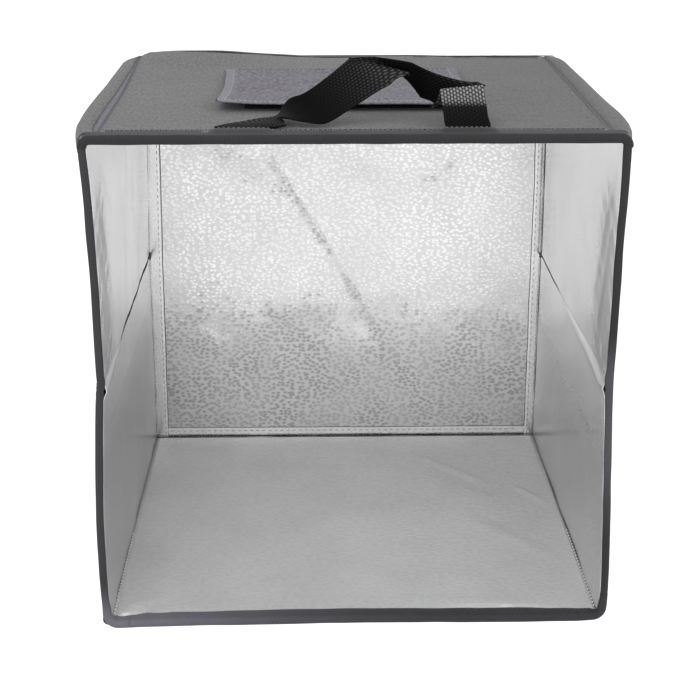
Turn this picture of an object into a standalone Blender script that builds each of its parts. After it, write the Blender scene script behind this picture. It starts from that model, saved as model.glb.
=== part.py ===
"""Folding light tent cube, open at the front, in metres with +Z up.

The origin is under the middle of the cube, on the surface it stands on. The front opening faces -Y.
Seven stiff panels make the cube: a base, two halves of each side wall, a top and a back. A panel is a
board between an outer cloth and a reflective liner. All but the back have tape bound round their front
and rear edges. The side walls' creases move inward and the top sinks straight down to fold the cube,
and the back drops backward, flat on the ground.
"""
import math

import bmesh
import bpy
from mathutils import Matrix, Vector

mm = 0.001

# Inside of the cube
inside_width = 300 * mm
inside_depth = 285 * mm
inside_height = 295 * mm

# What a panel is made of, from outside to inside
outer_cloth = 0.8 * mm
board_thickness = 2.8 * mm
liner_thickness = 0.8 * mm
gap = 0.3 * mm                      # between pieces that touch
edge_radius = 3.5 * mm              # long outer edges of the base, the top and the back
round_steps = 4

# Tape bound round the panels' edges
tape = 0.8 * mm
front_binding = 8 * mm
top_front_binding = 14 * mm
rear_binding = 8 * mm

# Fold
fold_clearance = 3.8 * mm           # floor and roof hinge lines to the floor and the ceiling
crease_offset = 1 * mm              # crease hinge line, outside the outer cloth
crease_gap = 0.4 * mm

# Hook and loop tapes that hold the back panel
hook_tape = 1 * mm
loop_tape = 1 * mm
tape_end_clearance = 3 * mm         # from a tape's end to the crease or the roof
top_tape_inset = 15 * mm            # from each side of the cube to the ends of the tapes on top
top_tape_margin = 0.5 * mm          # above and below the tape on the top's rear edge

# Hem of the back panel's liner, as it shows inside
back_hem = 7 * mm

# Window in the top
window_width = 120 * mm
window_depth = 85 * mm
window_radius = 6 * mm
window_tape = 1 * mm
window_to_hinge = 12 * mm           # from the flap's hinge line forward to the window

# Flap over the window
flap_width = 157 * mm
flap_length = 141 * mm
flap_radius = 3 * mm
flap_x = -5 * mm
flap_hinge_inset = 78 * mm          # from the rear of the cube to the flap's hinge line
flap_cloth = 0.8 * mm
flap_lining = 0.6 * mm
flap_hem = 8 * mm                   # from the lining's edge to the flap's edge
flap_tape_width = 16 * mm
flap_tape_length = 120 * mm
flap_tape_inset = 7 * mm            # from the flap's front edge

# Webbing handle, sewn in at both ends along the rear of the top's front binding
webbing_width = 25 * mm
webbing_thickness = 1.4 * mm
handle_span = 153 * mm              # outer edge to outer edge at the seam
handle_height = 32 * mm             # highest point of the webbing's middle line over the seam
handle_reach = 28 * mm              # how far its middle line lies back from the seam
steps_per_station = 5

# Colours: base colour, roughness, metallic
cloth_look = ((0.21, 0.205, 0.215), 0.85, 0.0)
tape_look = ((0.035, 0.034, 0.038), 0.8, 0.0)
board_look = ((0.30, 0.28, 0.25), 0.9, 0.0)
foil_look = ((0.72, 0.72, 0.74), 0.35, 0.85)
flap_look = ((0.36, 0.345, 0.38), 0.6, 0.0)
lining_look = ((0.72, 0.72, 0.74), 0.4, 0.8)
webbing_look = ((0.018, 0.018, 0.02), 0.6, 0.0)
hook_look = ((0.03, 0.03, 0.033), 0.95, 0.0)

# Worked out from the sizes above
panel = outer_cloth + gap + board_thickness + gap + liner_thickness
x_in = inside_width / 2
x_out = x_in + panel
height = inside_height + 2 * panel
roof = height - panel
depth = inside_depth + panel
front = -depth / 2
rear = depth / 2
back_face = rear - panel
tape_stack = gap + loop_tape + gap + hook_tape + gap

floor_hinge_z = panel + fold_clearance
roof_hinge_z = roof - fold_clearance
crease_z = height / 2
crease_x = x_out + crease_offset

flap_thickness = flap_cloth + gap + flap_lining
flap_hinge_y = rear - flap_hinge_inset
flap_hinge_z = height + gap + flap_thickness / 2
flap_tape_reach = flap_length - flap_tape_inset - flap_tape_width
flap_tilt = math.atan((loop_tape + gap + hook_tape + gap) / flap_tape_reach)
window_rear = flap_hinge_y - window_to_hinge

handle_hinge_y = front + top_front_binding + gap + webbing_thickness / 2
handle_hinge_z = height + gap + webbing_thickness / 2

# Middle line of the webbing as shares of (half the span between the two ends' middles, the reach,
# the height), and the way across the webbing, from its outer edge to its inner edge.
handle_station_shares = [
    ((-1.00, 0.00, 0.00), (1.00, 0.00, 0.00)),
    ((-0.95, 0.28, 0.01), (0.96, -0.27, 0.00)),
    ((-0.85, 0.55, 0.05), (0.75, -0.66, 0.05)),
    ((-0.71, 0.70, 0.11), (0.28, -0.95, 0.11)),
    ((-0.54, 0.64, 0.17), (0.42, -0.88, -0.20)),
    ((-0.35, 0.54, 0.27), (0.60, -0.68, -0.42)),
    ((-0.14, 0.46, 0.55), (0.62, -0.58, -0.53)),
    ((0.05, 0.43, 0.83), (0.68, -0.46, -0.57)),
    ((0.18, 0.45, 0.98), (0.78, -0.28, -0.56)),
    ((0.29, 0.58, 1.00), (0.74, 0.15, -0.65)),
    ((0.38, 0.74, 0.91), (0.55, 0.45, -0.70)),
    ((0.49, 0.88, 0.76), (0.34, 0.52, -0.78)),
    ((0.64, 1.00, 0.64), (0.06, 0.38, -0.92)),
    ((0.78, 0.98, 0.55), (-0.40, 0.05, -0.91)),
    ((0.87, 0.74, 0.59), (-0.88, -0.22, -0.42)),
    ((0.89, 0.48, 0.62), (-0.99, -0.12, -0.08)),
    ((0.91, 0.24, 0.48), (-1.00, 0.00, 0.00)),
    ((0.95, 0.07, 0.24), (-1.00, 0.00, 0.00)),
    ((1.00, 0.00, 0.00), (-1.00, 0.00, 0.00)),
]

SIDES = {"-x": (-1, 0, 0), "+x": (1, 0, 0), "-y": (0, -1, 0), "+y": (0, 1, 0), "-z": (0, 0, -1), "+z": (0, 0, 1)}


def empty_the_scene():
    """Remove what a new file holds and return the collections for the parts and the cutters."""
    for thing in list(bpy.data.objects):
        bpy.data.objects.remove(thing, do_unlink=True)
    parts = bpy.data.collections.new("light_tent_cube")
    cutters = bpy.data.collections.new("cutters")
    bpy.context.scene.collection.children.link(parts)
    bpy.context.scene.collection.children.link(cutters)
    return parts, cutters


PARTS, CUTTERS = empty_the_scene()
HINGES = {}


def look(name, values):
    """A Principled material with one base colour, roughness and metallic value."""
    colour, roughness, metallic = values
    material = bpy.data.materials.new(name)
    material.use_nodes = True
    shader = material.node_tree.nodes["Principled BSDF"]
    shader.inputs["Base Color"].default_value = (*colour, 1)
    shader.inputs["Roughness"].default_value = roughness
    shader.inputs["Metallic"].default_value = metallic
    material.diffuse_color = (*colour, 1)
    return material


def hinge(name, place, parent=None):
    """An empty on a joint's axis, which carries the pieces that turn about it."""
    empty = bpy.data.objects.new(name, None)
    PARTS.objects.link(empty)
    HINGES[name] = Vector(place)
    empty.parent = bpy.data.objects[parent] if parent else None
    empty.location = Vector(place) - (HINGES[parent] if parent else Vector())
    return name


def add(name, mesh, place, values, body, tilt=0):
    """A mesh as the named piece, centred at a place in the world and carried by a hinge."""
    piece = bpy.data.objects.new(name, mesh)
    PARTS.objects.link(piece)
    mesh.materials.append(look(name + "_look", values))
    piece.location = place
    if body:
        piece.parent = bpy.data.objects[body]
        piece.location = Vector(place) - HINGES[body]
    piece.rotation_euler.x = tilt
    mesh.shade_smooth()
    mesh.set_sharp_from_angle(angle=math.radians(30))
    return piece


def block(low, high, rounded=(), radius=0, open_sides=()):
    """A box as a mesh about its own centre. Edges are named by the two sides that they join."""
    low, high = Vector(low), Vector(high)
    size = high - low
    shape = bmesh.new()
    bmesh.ops.create_cube(shape, size=1)
    bmesh.ops.scale(shape, vec=size, verts=shape.verts)

    def faces(side):
        return [f for f in shape.faces if f.normal.dot(Vector(SIDES[side])) > 0.9]

    shape.normal_update()
    edges = [e for one, other in rounded for e in faces(one)[0].edges if e in faces(other)[0].edges[:]]
    gone = [f for side in open_sides for f in faces(side)]
    bmesh.ops.delete(shape, geom=gone, context="FACES")
    edges = [e for e in edges if e.is_valid]
    if edges:
        bmesh.ops.bevel(shape, geom=edges, offset=radius, segments=round_steps, profile=0.5,
                        affect="EDGES", clamp_overlap=True)
    mesh = bpy.data.meshes.new("block")
    shape.to_mesh(mesh)
    shape.free()
    return mesh, (low + high) / 2


def slab(name, low, high, values, body=None, rounded=(), radius=0):
    """A solid box."""
    mesh, middle = block(low, high, rounded, radius)
    return add(name, mesh, middle, values, body)


def sleeve(name, low, high, open_sides, wall, values, body=None, rounded=(), radius=0):
    """A box with open sides and walls of one thickness, measured inward."""
    mesh, middle = block(low, high, rounded, radius, open_sides)
    piece = add(name, mesh, middle, values, body)
    skin = piece.modifiers.new("wall", "SOLIDIFY")
    skin.thickness = wall
    skin.offset = -1
    skin.use_even_offset = True
    return piece


def panel_pieces(prefix, low, high, inner, front_tape, body=None, rounded=(), rear_tape=rear_binding):
    """Cloth, board, liner and the two bound edges of one panel. `inner` is its side to the inside."""
    axis = "xyz".index(inner[1])
    toward = 1 if inner[0] == "+" else -1
    low, high = Vector(low), Vector(high)

    def layer(start, end):
        """Corners of the layer between two depths, measured from the panel's outer face."""
        a, b = low.copy(), high.copy()
        outer = low[axis] if toward > 0 else high[axis]
        a[axis], b[axis] = sorted((outer + toward * start, outer + toward * end))
        return a, b

    def inset(corners, sides, front_end, rear_end):
        """The same corners with the panel's long sides, its front and its rear drawn in."""
        a, b = corners[0].copy(), corners[1].copy()
        long_axis = 2 if axis == 0 else 0
        a[long_axis] += sides
        b[long_axis] -= sides
        a.y += front_end
        b.y -= rear_end
        return a, b

    cloth = inset((low, high), 0, front_tape + gap, rear_tape + gap)
    sleeve(prefix + "_cover", *cloth, (inner, "-y", "+y"), outer_cloth, cloth_look, body, rounded, edge_radius)
    board = inset(layer(outer_cloth + gap, panel - liner_thickness - gap), outer_cloth + gap,
                  tape + gap, tape + gap)
    slab(prefix + "_board", *board, board_look, body, rounded, edge_radius - outer_cloth - gap)
    liner = inset(layer(panel - liner_thickness, panel), outer_cloth + gap, front_tape + gap, rear_tape + gap)
    slab(prefix + "_liner", *liner, foil_look, body)
    sleeve(prefix + "_front_binding", low, (high.x, low.y + front_tape, high.z), ("+y",), tape, tape_look,
           body, rounded, edge_radius)
    sleeve(prefix + "_rear_binding", (low.x, high.y - rear_tape, low.z), high, ("-y",), tape, tape_look,
           body, rounded, edge_radius)


def base():
    panel_pieces("base", (-x_out, front, 0), (x_out, back_face - gap, panel), "+z", front_binding,
                 rounded=(("-z", "-x"), ("-z", "+x")))


def side_wall(side, sign):
    """The two halves of one side wall, with the tape that holds the back panel on the upper half."""
    lower = hinge(side + "_floor_hinge", (sign * x_in, 0, floor_hinge_z))
    upper = hinge(side + "_crease_hinge", (sign * crease_x, 0, crease_z), lower)
    inner = "-x" if sign > 0 else "+x"
    x_low, x_high = sorted((sign * x_in, sign * x_out))
    panel_pieces(side + "_lower", (x_low, front, panel + gap),
                 (x_high, back_face - gap, crease_z - crease_gap / 2), inner, front_binding, lower)
    upper_rear = back_face - tape_stack
    panel_pieces(side + "_upper", (x_low, front, crease_z + crease_gap / 2),
                 (x_high, upper_rear, roof - gap), inner, front_binding, upper)
    slab(side + "_hook_tape", (x_low, upper_rear + gap, crease_z + tape_end_clearance),
         (x_high, upper_rear + gap + hook_tape, roof - tape_end_clearance), hook_look, upper)
    return upper


def top(parent):
    """The top panel with its window, the tape for the flap and the tape for the back panel."""
    body = hinge("roof_hinge", (-x_in, 0, roof_hinge_z), parent)
    top_rear = back_face - tape_stack
    panel_pieces("top", (-x_out, front, roof), (x_out, top_rear, height), "-z", top_front_binding, body,
                 (("+z", "-x"), ("+z", "+x")))
    slab("top_hook_tape", (-x_out + top_tape_inset, top_rear + gap, roof + top_tape_margin),
         (x_out - top_tape_inset, top_rear + gap + hook_tape, height - top_tape_margin), hook_look, body)

    corners = (("-x", "-y"), ("-x", "+y"), ("+x", "-y"), ("+x", "+y"))
    reach = Vector((window_width / 2 + window_tape, window_depth / 2 + window_tape, 0))
    middle = Vector((flap_x, window_rear - window_depth / 2, 0))
    sleeve("window_binding", middle - reach + Vector((0, 0, roof)), middle + reach + Vector((0, 0, height)),
           ("-z", "+z"), window_tape, tape_look, body, corners, window_radius + window_tape)
    reach += Vector((gap, gap, 0))
    mesh, place = block(middle - reach + Vector((0, 0, roof - panel)), middle + reach + Vector((0, 0, height + panel)),
                        corners, window_radius + window_tape + gap)
    cutter = bpy.data.objects.new("window_cutter", mesh)
    CUTTERS.objects.link(cutter)
    cutter.location = place
    cutter.hide_render = True
    cutter.display_type = "WIRE"
    for name in ("top_cover", "top_board", "top_liner"):
        cut = bpy.data.objects[name].modifiers.new("window", "BOOLEAN")
        cut.operation = "DIFFERENCE"
        cut.object = cutter

    tape_rear = flap_hinge_y - flap_tape_reach
    slab("flap_loop_tape", (flap_x - flap_tape_length / 2, tape_rear - flap_tape_width, height + gap),
         (flap_x + flap_tape_length / 2, tape_rear, height + gap + loop_tape), hook_look, body)
    return body


def flap(parent):
    """The cover of the window, a little raised at its front by the two tapes under it."""
    body = hinge("flap_hinge", (flap_x, flap_hinge_y, flap_hinge_z), parent)

    def sheet(name, x_reach, y_start, y_end, z_low, z_high, values, rounded=()):
        mesh, middle = block((-x_reach, -y_end, z_low), (x_reach, -y_start, z_high), rounded, flap_radius)
        mesh.transform(Matrix.Translation(middle))
        add(name, mesh, HINGES[body], values, body, -flap_tilt)

    top_face = flap_thickness / 2
    under = -flap_thickness / 2
    sheet("flap_cover", flap_width / 2, 0, flap_length, top_face - flap_cloth, top_face, flap_look,
          (("-x", "-y"), ("+x", "-y")))
    sheet("flap_lining", flap_width / 2 - flap_hem, flap_hem, flap_length - flap_tape_inset, under,
          under + flap_lining, lining_look)
    sheet("flap_hook_tape", flap_tape_length / 2, flap_tape_reach, flap_tape_reach + flap_tape_width,
          under - gap - hook_tape, under - gap, hook_look)


def webbing_path():
    """Middle points and across directions along the handle, on a smooth curve through its stations."""
    half_span = (handle_span - webbing_width) / 2
    stations = [(Vector((x * half_span, y * handle_reach, z * handle_height)), Vector(across).normalized())
                for (x, y, z), across in handle_station_shares]
    path = []
    last = len(stations) - 1
    for i in range(last):
        four = [stations[min(max(k, 0), last)] for k in (i - 1, i, i + 1, i + 2)]
        for step in range(steps_per_station):
            t = step / steps_per_station
            path.append(tuple(catmull_rom([s[part] for s in four], t) for part in (0, 1)))
    path.append(stations[-1])
    return path


def catmull_rom(four, t):
    """A point on the smooth curve between the middle two of four points."""
    a, b, c, d = four
    return (b * 2 + (c - a) * t + (a * 2 - b * 5 + c * 4 - d) * t * t + (b * 3 - a - c * 3 + d) * t ** 3) / 2


def handle(parent):
    """Webbing lofted along its path: four corners at each step, closed at both sewn ends."""
    body = hinge("handle_hinge", (0, handle_hinge_y, handle_hinge_z), parent)
    path = webbing_path()
    shape = bmesh.new()
    rings = []
    for i, (middle, across) in enumerate(path):
        along = path[min(i + 1, len(path) - 1)][0] - path[max(i - 1, 0)][0]
        across = across.normalized()
        if i in (0, len(path) - 1):
            along -= across * along.dot(across)
        out = along.cross(across).normalized() * webbing_thickness / 2
        half = across * webbing_width / 2
        rings.append([shape.verts.new(middle + a * half + b * out) for a, b in ((-1, -1), (1, -1), (1, 1), (-1, 1))])
    for one, other in zip(rings, rings[1:]):
        for k in range(4):
            j = (k + 1) % 4
            shape.faces.new((one[k], one[j], other[j], other[k]))
    shape.faces.new(rings[0][::-1])
    shape.faces.new(rings[-1])
    bmesh.ops.recalc_face_normals(shape, faces=shape.faces)
    mesh = bpy.data.meshes.new("webbing")
    shape.to_mesh(mesh)
    shape.free()
    add("handle_webbing", mesh, HINGES[body], webbing_look, body)


def back():
    """The back panel: a tray of outer cloth, its board, and a liner with a hem on all four sides."""
    body = hinge("back_hinge", (0, rear, 0))
    corners = (("-x", "-z"), ("-x", "+z"), ("+x", "-z"), ("+x", "+z"))
    sleeve("back_cover", (-x_out, back_face, 0), (x_out, rear, height), ("-y",), outer_cloth, cloth_look,
           body, corners, edge_radius)
    edge = outer_cloth + gap
    inner_radius = edge_radius - edge
    slab("back_board", (-x_out + edge, back_face + liner_thickness + gap, edge),
         (x_out - edge, rear - edge, height - edge), board_look, body, corners, inner_radius)

    hem = panel + back_hem
    liner_rear = back_face + liner_thickness
    slab("back_liner", (-x_out + hem, back_face, hem), (x_out - hem, liner_rear, height - hem), foil_look, body)
    for side, sign in (("left", -1), ("right", 1)):
        x_low, x_high = sorted((sign * (x_out - edge), sign * (x_out - hem + gap)))
        outer = "-x" if sign < 0 else "+x"
        slab("back_hem_" + side, (x_low, back_face, edge), (x_high, liner_rear, height - edge), foil_look,
             body, ((outer, "-z"), (outer, "+z")), inner_radius)
        x_low, x_high = sorted((sign * x_in, sign * x_out))
        slab("back_loop_" + side, (x_low, back_face - gap - loop_tape, crease_z + tape_end_clearance),
             (x_high, back_face - gap, roof - tape_end_clearance), hook_look, body)
    slab("back_hem_bottom", (-x_out + hem, back_face, edge), (x_out - hem, liner_rear, hem - gap), foil_look, body)
    slab("back_hem_top", (-x_out + hem, back_face, height - hem + gap), (x_out - hem, liner_rear, height - edge),
         foil_look, body)
    slab("back_loop_top", (-x_out + top_tape_inset, back_face - gap - loop_tape, roof + top_tape_margin),
         (x_out - top_tape_inset, back_face - gap, height - top_tape_margin), hook_look, body)


base()
left_upper = side_wall("left", -1)
side_wall("right", 1)
roof_body = top(left_upper)
flap(roof_body)
handle(roof_body)
back()
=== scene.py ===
# %% [markdown]
# # A folding light tent cube
# The real object is a cube of seven stiff panels for photographing small things. Each panel is a
# board between grey outer cloth and silver foil cloth, and black tape is folded over its front and
# rear edges. The side walls crease inward at mid height, so the cube folds flat. On top there is a
# window under a flap of grained cloth, and a webbing handle.
#
# The imported CAD model is loaded first and never changed. Everything made here is laid over it. Most
# of it rides on its bodies; pieces that cross a joint stay where they are made. Sizes are written in
# millimetres, and the helpers turn them into metres.

# %% Load the imported model
import math

import bpy
import numpy as np
from mathutils import Matrix, Vector


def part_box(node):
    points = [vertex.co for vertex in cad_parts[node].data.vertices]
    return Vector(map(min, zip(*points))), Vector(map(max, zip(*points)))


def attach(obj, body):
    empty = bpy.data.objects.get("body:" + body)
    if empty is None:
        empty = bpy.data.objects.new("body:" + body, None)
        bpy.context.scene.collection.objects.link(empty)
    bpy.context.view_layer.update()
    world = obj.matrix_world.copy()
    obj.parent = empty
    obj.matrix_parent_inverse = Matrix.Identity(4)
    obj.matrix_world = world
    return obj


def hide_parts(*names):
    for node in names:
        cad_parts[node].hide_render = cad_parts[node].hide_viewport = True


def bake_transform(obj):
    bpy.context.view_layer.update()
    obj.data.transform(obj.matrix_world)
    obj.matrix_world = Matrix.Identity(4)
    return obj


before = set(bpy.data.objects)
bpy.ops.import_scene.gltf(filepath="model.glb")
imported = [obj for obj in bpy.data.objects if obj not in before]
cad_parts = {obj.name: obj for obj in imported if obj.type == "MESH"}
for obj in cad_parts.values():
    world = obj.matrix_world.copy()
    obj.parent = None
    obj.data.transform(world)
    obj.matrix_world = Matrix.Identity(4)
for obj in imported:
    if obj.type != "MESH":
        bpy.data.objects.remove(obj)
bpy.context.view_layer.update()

mm = 0.001

# %% Read the panels' places from the CAD


def box(node):
    return [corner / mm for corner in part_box(node)]


def low(node, axis):
    return box(node)[0]["xyz".index(axis)]


def high(node, axis):
    return box(node)[1]["xyz".index(axis)]


x_out = high("base_front_binding", "x")
x_in = -high("left_upper_liner", "x")
panel = x_out - x_in
front = low("base_front_binding", "y")
back_face = low("back_liner", "y")
rear = high("back_cover", "y")
lower_rear, upper_rear, top_rear = (high(node + "_rear_binding", "y") for node in ("left_lower", "left_upper", "top"))
floor = high("base_liner", "z")
roof = low("top_liner", "z")
height = high("top_cover", "z")
crease = (high("left_lower_board", "z") + low("left_upper_board", "z")) / 2
crease_gap = 0.12  # from the crease to the edge of a piece on one half alone
deepest_dip = -0.25  # a liner that sinks further would meet its board
print("panel thickness", round(panel, 2), "mm, crease at", round(crease, 2), "mm")

# %% [markdown]
# ## Camera
# The camera comes first, because some folds are placed by a pixel of the photograph. Its place and
# lens were worked out from the corners of the opening, whose sizes are known. A ray through a pixel
# that meets a known plane gives a place on the object.

# %% Camera
eye = Vector((-23.41, -989.21, 480.51))
yaw, pitch, roll = (math.radians(a) for a in (0.989, 19.297, -0.004))
photo_width = 680
focal = 1542.5

forward = Vector((math.sin(yaw) * math.cos(pitch), math.cos(yaw) * math.cos(pitch), -math.sin(pitch)))
level = Vector((math.cos(yaw), -math.sin(yaw), 0))
upright = level.cross(forward)
right = level * math.cos(roll) + upright * math.sin(roll)
up = upright * math.cos(roll) - level * math.sin(roll)


def new_object(name, data):
    made = bpy.data.objects.new(name, data)
    bpy.context.scene.collection.objects.link(made)
    return made


lens = bpy.data.cameras.new("camera")
lens.sensor_width = 36
lens.lens = focal * lens.sensor_width / photo_width
camera = new_object("camera", lens)
camera.matrix_world = Matrix.Translation(eye * mm) @ Matrix((right, up, -forward)).transposed().to_4x4()
bpy.context.scene.camera = camera
bpy.context.scene.view_settings.view_transform = "Standard"
print("lens", round(lens.lens, 2), "mm")


def photo_point(u, v, axis, value):
    """Where the ray through a pixel of the photograph meets the plane axis = value."""
    half = photo_width / 2
    ray = forward + right * ((u - half) / focal) + up * ((half - v) / focal)
    k = "xyz".index(axis)
    return eye + ray * ((value - eye[k]) / ray[k])


# %% [markdown]
# ## Nodes
# Materials and stitches are nets of nodes. Adding them by hand is slow to read, so one small class
# wraps a socket and lets Python's own signs add Math nodes, and another makes any node in one call.

# %% Sockets that can be added and multiplied


class Value:
    """A number or colour in a net, as the socket that gives it."""

    def __init__(self, net, socket):
        self.net, self.socket = net, socket

    def also(self, out):
        """Another output of the same node."""
        return Value(self.net, self.socket.node.outputs[out])

    def math(self, operation, other=0.0, swapped=False):
        first, second = (other, self) if swapped else (self, other)
        return self.net.node("ShaderNodeMath", {"operation": operation}, {0: first, 1: second})

    def __add__(self, other):
        return self.math("ADD", other)

    __radd__ = __add__

    def __sub__(self, other):
        return self.math("SUBTRACT", other)

    def __rsub__(self, other):
        return self.math("SUBTRACT", other, swapped=True)

    def __mul__(self, other):
        return self.math("MULTIPLY", other)

    __rmul__ = __mul__

    def between(self, start, end):
        """0 below start, 1 above end and smooth between them."""
        return self.net.node("ShaderNodeMapRange", {"interpolation_type": "SMOOTHSTEP"},
                             {"Value": self, "From Min": start, "From Max": end})


class Net:
    """A tree of nodes while it is being made."""

    def __init__(self, tree):
        self.tree, self.nodes = tree, tree.nodes

    def node(self, kind, settings=None, values=None, out=0):
        made = self.nodes.new(kind)
        for key, value in (settings or {}).items():
            setattr(made, key, value)
        for key, value in (values or {}).items():
            self.feed(made.inputs[key], value)
        return Value(self, made.outputs[out] if made.outputs else None)

    def feed(self, socket, value):
        if isinstance(value, Value):
            self.tree.links.new(value.socket, socket)
        else:
            socket.default_value = (*value, 1) if socket.type == "RGBA" else value


class Finish(Net):
    """A procedural material while it is being made."""

    def __init__(self, name, **constants):
        self.material = bpy.data.materials.new(name)
        self.material.use_nodes = True
        super().__init__(self.material.node_tree)
        self.shader = self.nodes["Principled BSDF"]
        self.surface(**constants)

    def surface(self, **values):
        for name, value in values.items():
            self.feed(self.shader.inputs[name.replace("_", " ")], value)
        return self.material

    def mix(self, share, first, second):
        return self.node("ShaderNodeMix", {"data_type": "RGBA"}, {0: share, 6: first, 7: second}, out=2)

    def noise(self, place, size, detail=3, rough=0.55, out=0):
        return self.node("ShaderNodeTexNoise", {}, {"Vector": place, "Scale": 1 / (size * mm), "Detail": detail,
                                                    "Roughness": rough}, out)

    def cells(self, place, size, jitter=1.0, space="3D"):
        return self.node("ShaderNodeTexVoronoi", {"voronoi_dimensions": space},
                         {"Vector": place, "Scale": 1 / (size * mm), "Randomness": jitter})

    def stretched(self, place, stretch):
        return self.node("ShaderNodeVectorMath", {"operation": "MULTIPLY"}, {0: place, 1: stretch})

    def object_place(self, stretch=(1, 1, 1)):
        return self.stretched(self.node("ShaderNodeTexCoord", out=3), stretch)

    def cloth_place(self, stretch=(1, 1, 1)):
        """The sheet's own UV map, which is in metres along and across it."""
        return self.stretched(self.node("ShaderNodeUVMap", {"uv_map": "cloth"}), stretch)

    def along_across(self):
        made = self.node("ShaderNodeSeparateXYZ", {}, {0: self.cloth_place()})
        return made, made.also(1)

    def waves(self, distance, pitch):
        """1 at every crest and 0 between them, a pitch apart."""
        return (distance * (2 * math.pi / (pitch * mm))).math("SINE") * 0.5 + 0.5

    def painted(self, name):
        """A number that a sheet's points carry."""
        return self.node("ShaderNodeAttribute", {"attribute_name": name}, out=2)

    def bump(self, raised, depth, strength=1.0):
        return self.node("ShaderNodeBump", {}, {"Strength": strength, "Distance": depth * mm, "Height": raised})


def times(colour, *factors):
    """The colour made darker or paler by each factor."""
    return [[c * k for c in colour] for k in factors]


# %% [markdown]
# ## Cloth and tape finishes
# Everything dark here is woven. The outer cloth has a plain weave with thicker threads here and
# there, and catches lint. The tape is grosgrain, with ribs across it. Both are patterned on the
# sheet's own UV map, so the weave has one size on every piece and turns with it.

# %% Outer cloth


def woven_cloth(name, colour, thread=0.62):
    cloth = Finish(name, Roughness=0.9, Sheen_Weight=0.25, Sheen_Roughness=0.5)
    warp, weft = (cloth.waves(distance, thread) for distance in cloth.along_across())
    weave = warp * weft + (1 - warp) * (1 - weft)
    slubs = cloth.noise(cloth.cloth_place((1, 9, 1)), 13).between(0.35, 0.65) * 0.5 + \
        cloth.noise(cloth.cloth_place((9, 1, 1)), 13).between(0.35, 0.65) * 0.5
    fading = cloth.noise(cloth.object_place(), 70, 2)
    lint = 1 - cloth.cells(cloth.cloth_place(), 9).between(0.03, 0.055)
    flecks = cloth.noise(cloth.cloth_place((1, 0.45, 1)), 2.0, 2, 0.6).between(0.38, 0.62)
    tone = cloth.mix(weave * 0.2 + slubs * 0.4 + fading * 0.36 + flecks * 0.42 - 0.2, *times(colour, 0.5, 1.55))
    # The mark "line" paints dark lines of shade along seams, creases and grooves, and darkens the top's right part.
    tone = cloth.mix(cloth.painted("line") * 0.88, tone, (0.01, 0.01, 0.012))
    tone = cloth.mix(lint * 0.5, tone, (0.6, 0.6, 0.6))
    return cloth.surface(Base_Color=tone, Roughness=0.82 + 0.12 * slubs,
                         Normal=cloth.bump(weave * 0.5 + slubs * 0.35, 0.12, 0.8))


outer_cloth = woven_cloth("outer_cloth", (0.142, 0.140, 0.144))
seam_cloth = woven_cloth("seam_cloth", (0.150, 0.140, 0.185))

# %% Tape


def ribbed_tape(name, colour, rib=1.2):
    tape = Finish(name, Roughness=0.75, Sheen_Weight=0.2, Sheen_Roughness=0.4, Specular_IOR_Level=0.35)
    ribs = tape.waves(tape.along_across()[0], rib)
    wear = tape.noise(tape.object_place(), 26, 3)
    fibres = tape.noise(tape.cloth_place((14, 1, 1)), 5, 4)
    tone = tape.mix(ribs * 0.4 + wear * 0.45 + fibres * 0.3 - 0.15, *times(colour, 0.55, 1.55))
    # Painted sheen: one mark turns the tape a paler grey-violet where light glances along it.
    tone = tape.mix(tape.painted("painted_sheen") * (0.7 + 0.3 * wear), tone, (0.27, 0.265, 0.31))
    return tape.surface(Base_Color=tone, Roughness=0.6 + 0.3 * fibres,
                        Normal=tape.bump(ribs * 0.8 + fibres * 0.4, 0.18, 0.9))


edge_tape = ribbed_tape("edge_tape", (0.030, 0.029, 0.032))

# %% [markdown]
# ## Silver foil cloth
# The liner is foil bonded to cloth and embossed with pebbles. Cells from a Voronoi texture give one
# dome for each pebble, and a Bump node turns them into small tilts, so each pebble reflects its own
# piece of the room. The upper back is bright because it sees the bright ground in front of the cube.
# The lower foil reflected the dark studio behind the camera: one mark paints that reflection into the
# colour as shade, and makes the foil rougher there. The mark "line" paints dark lines: the shade in
# seams, slits and gaps, and the raw edges of the hems.

# %% Foil


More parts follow.
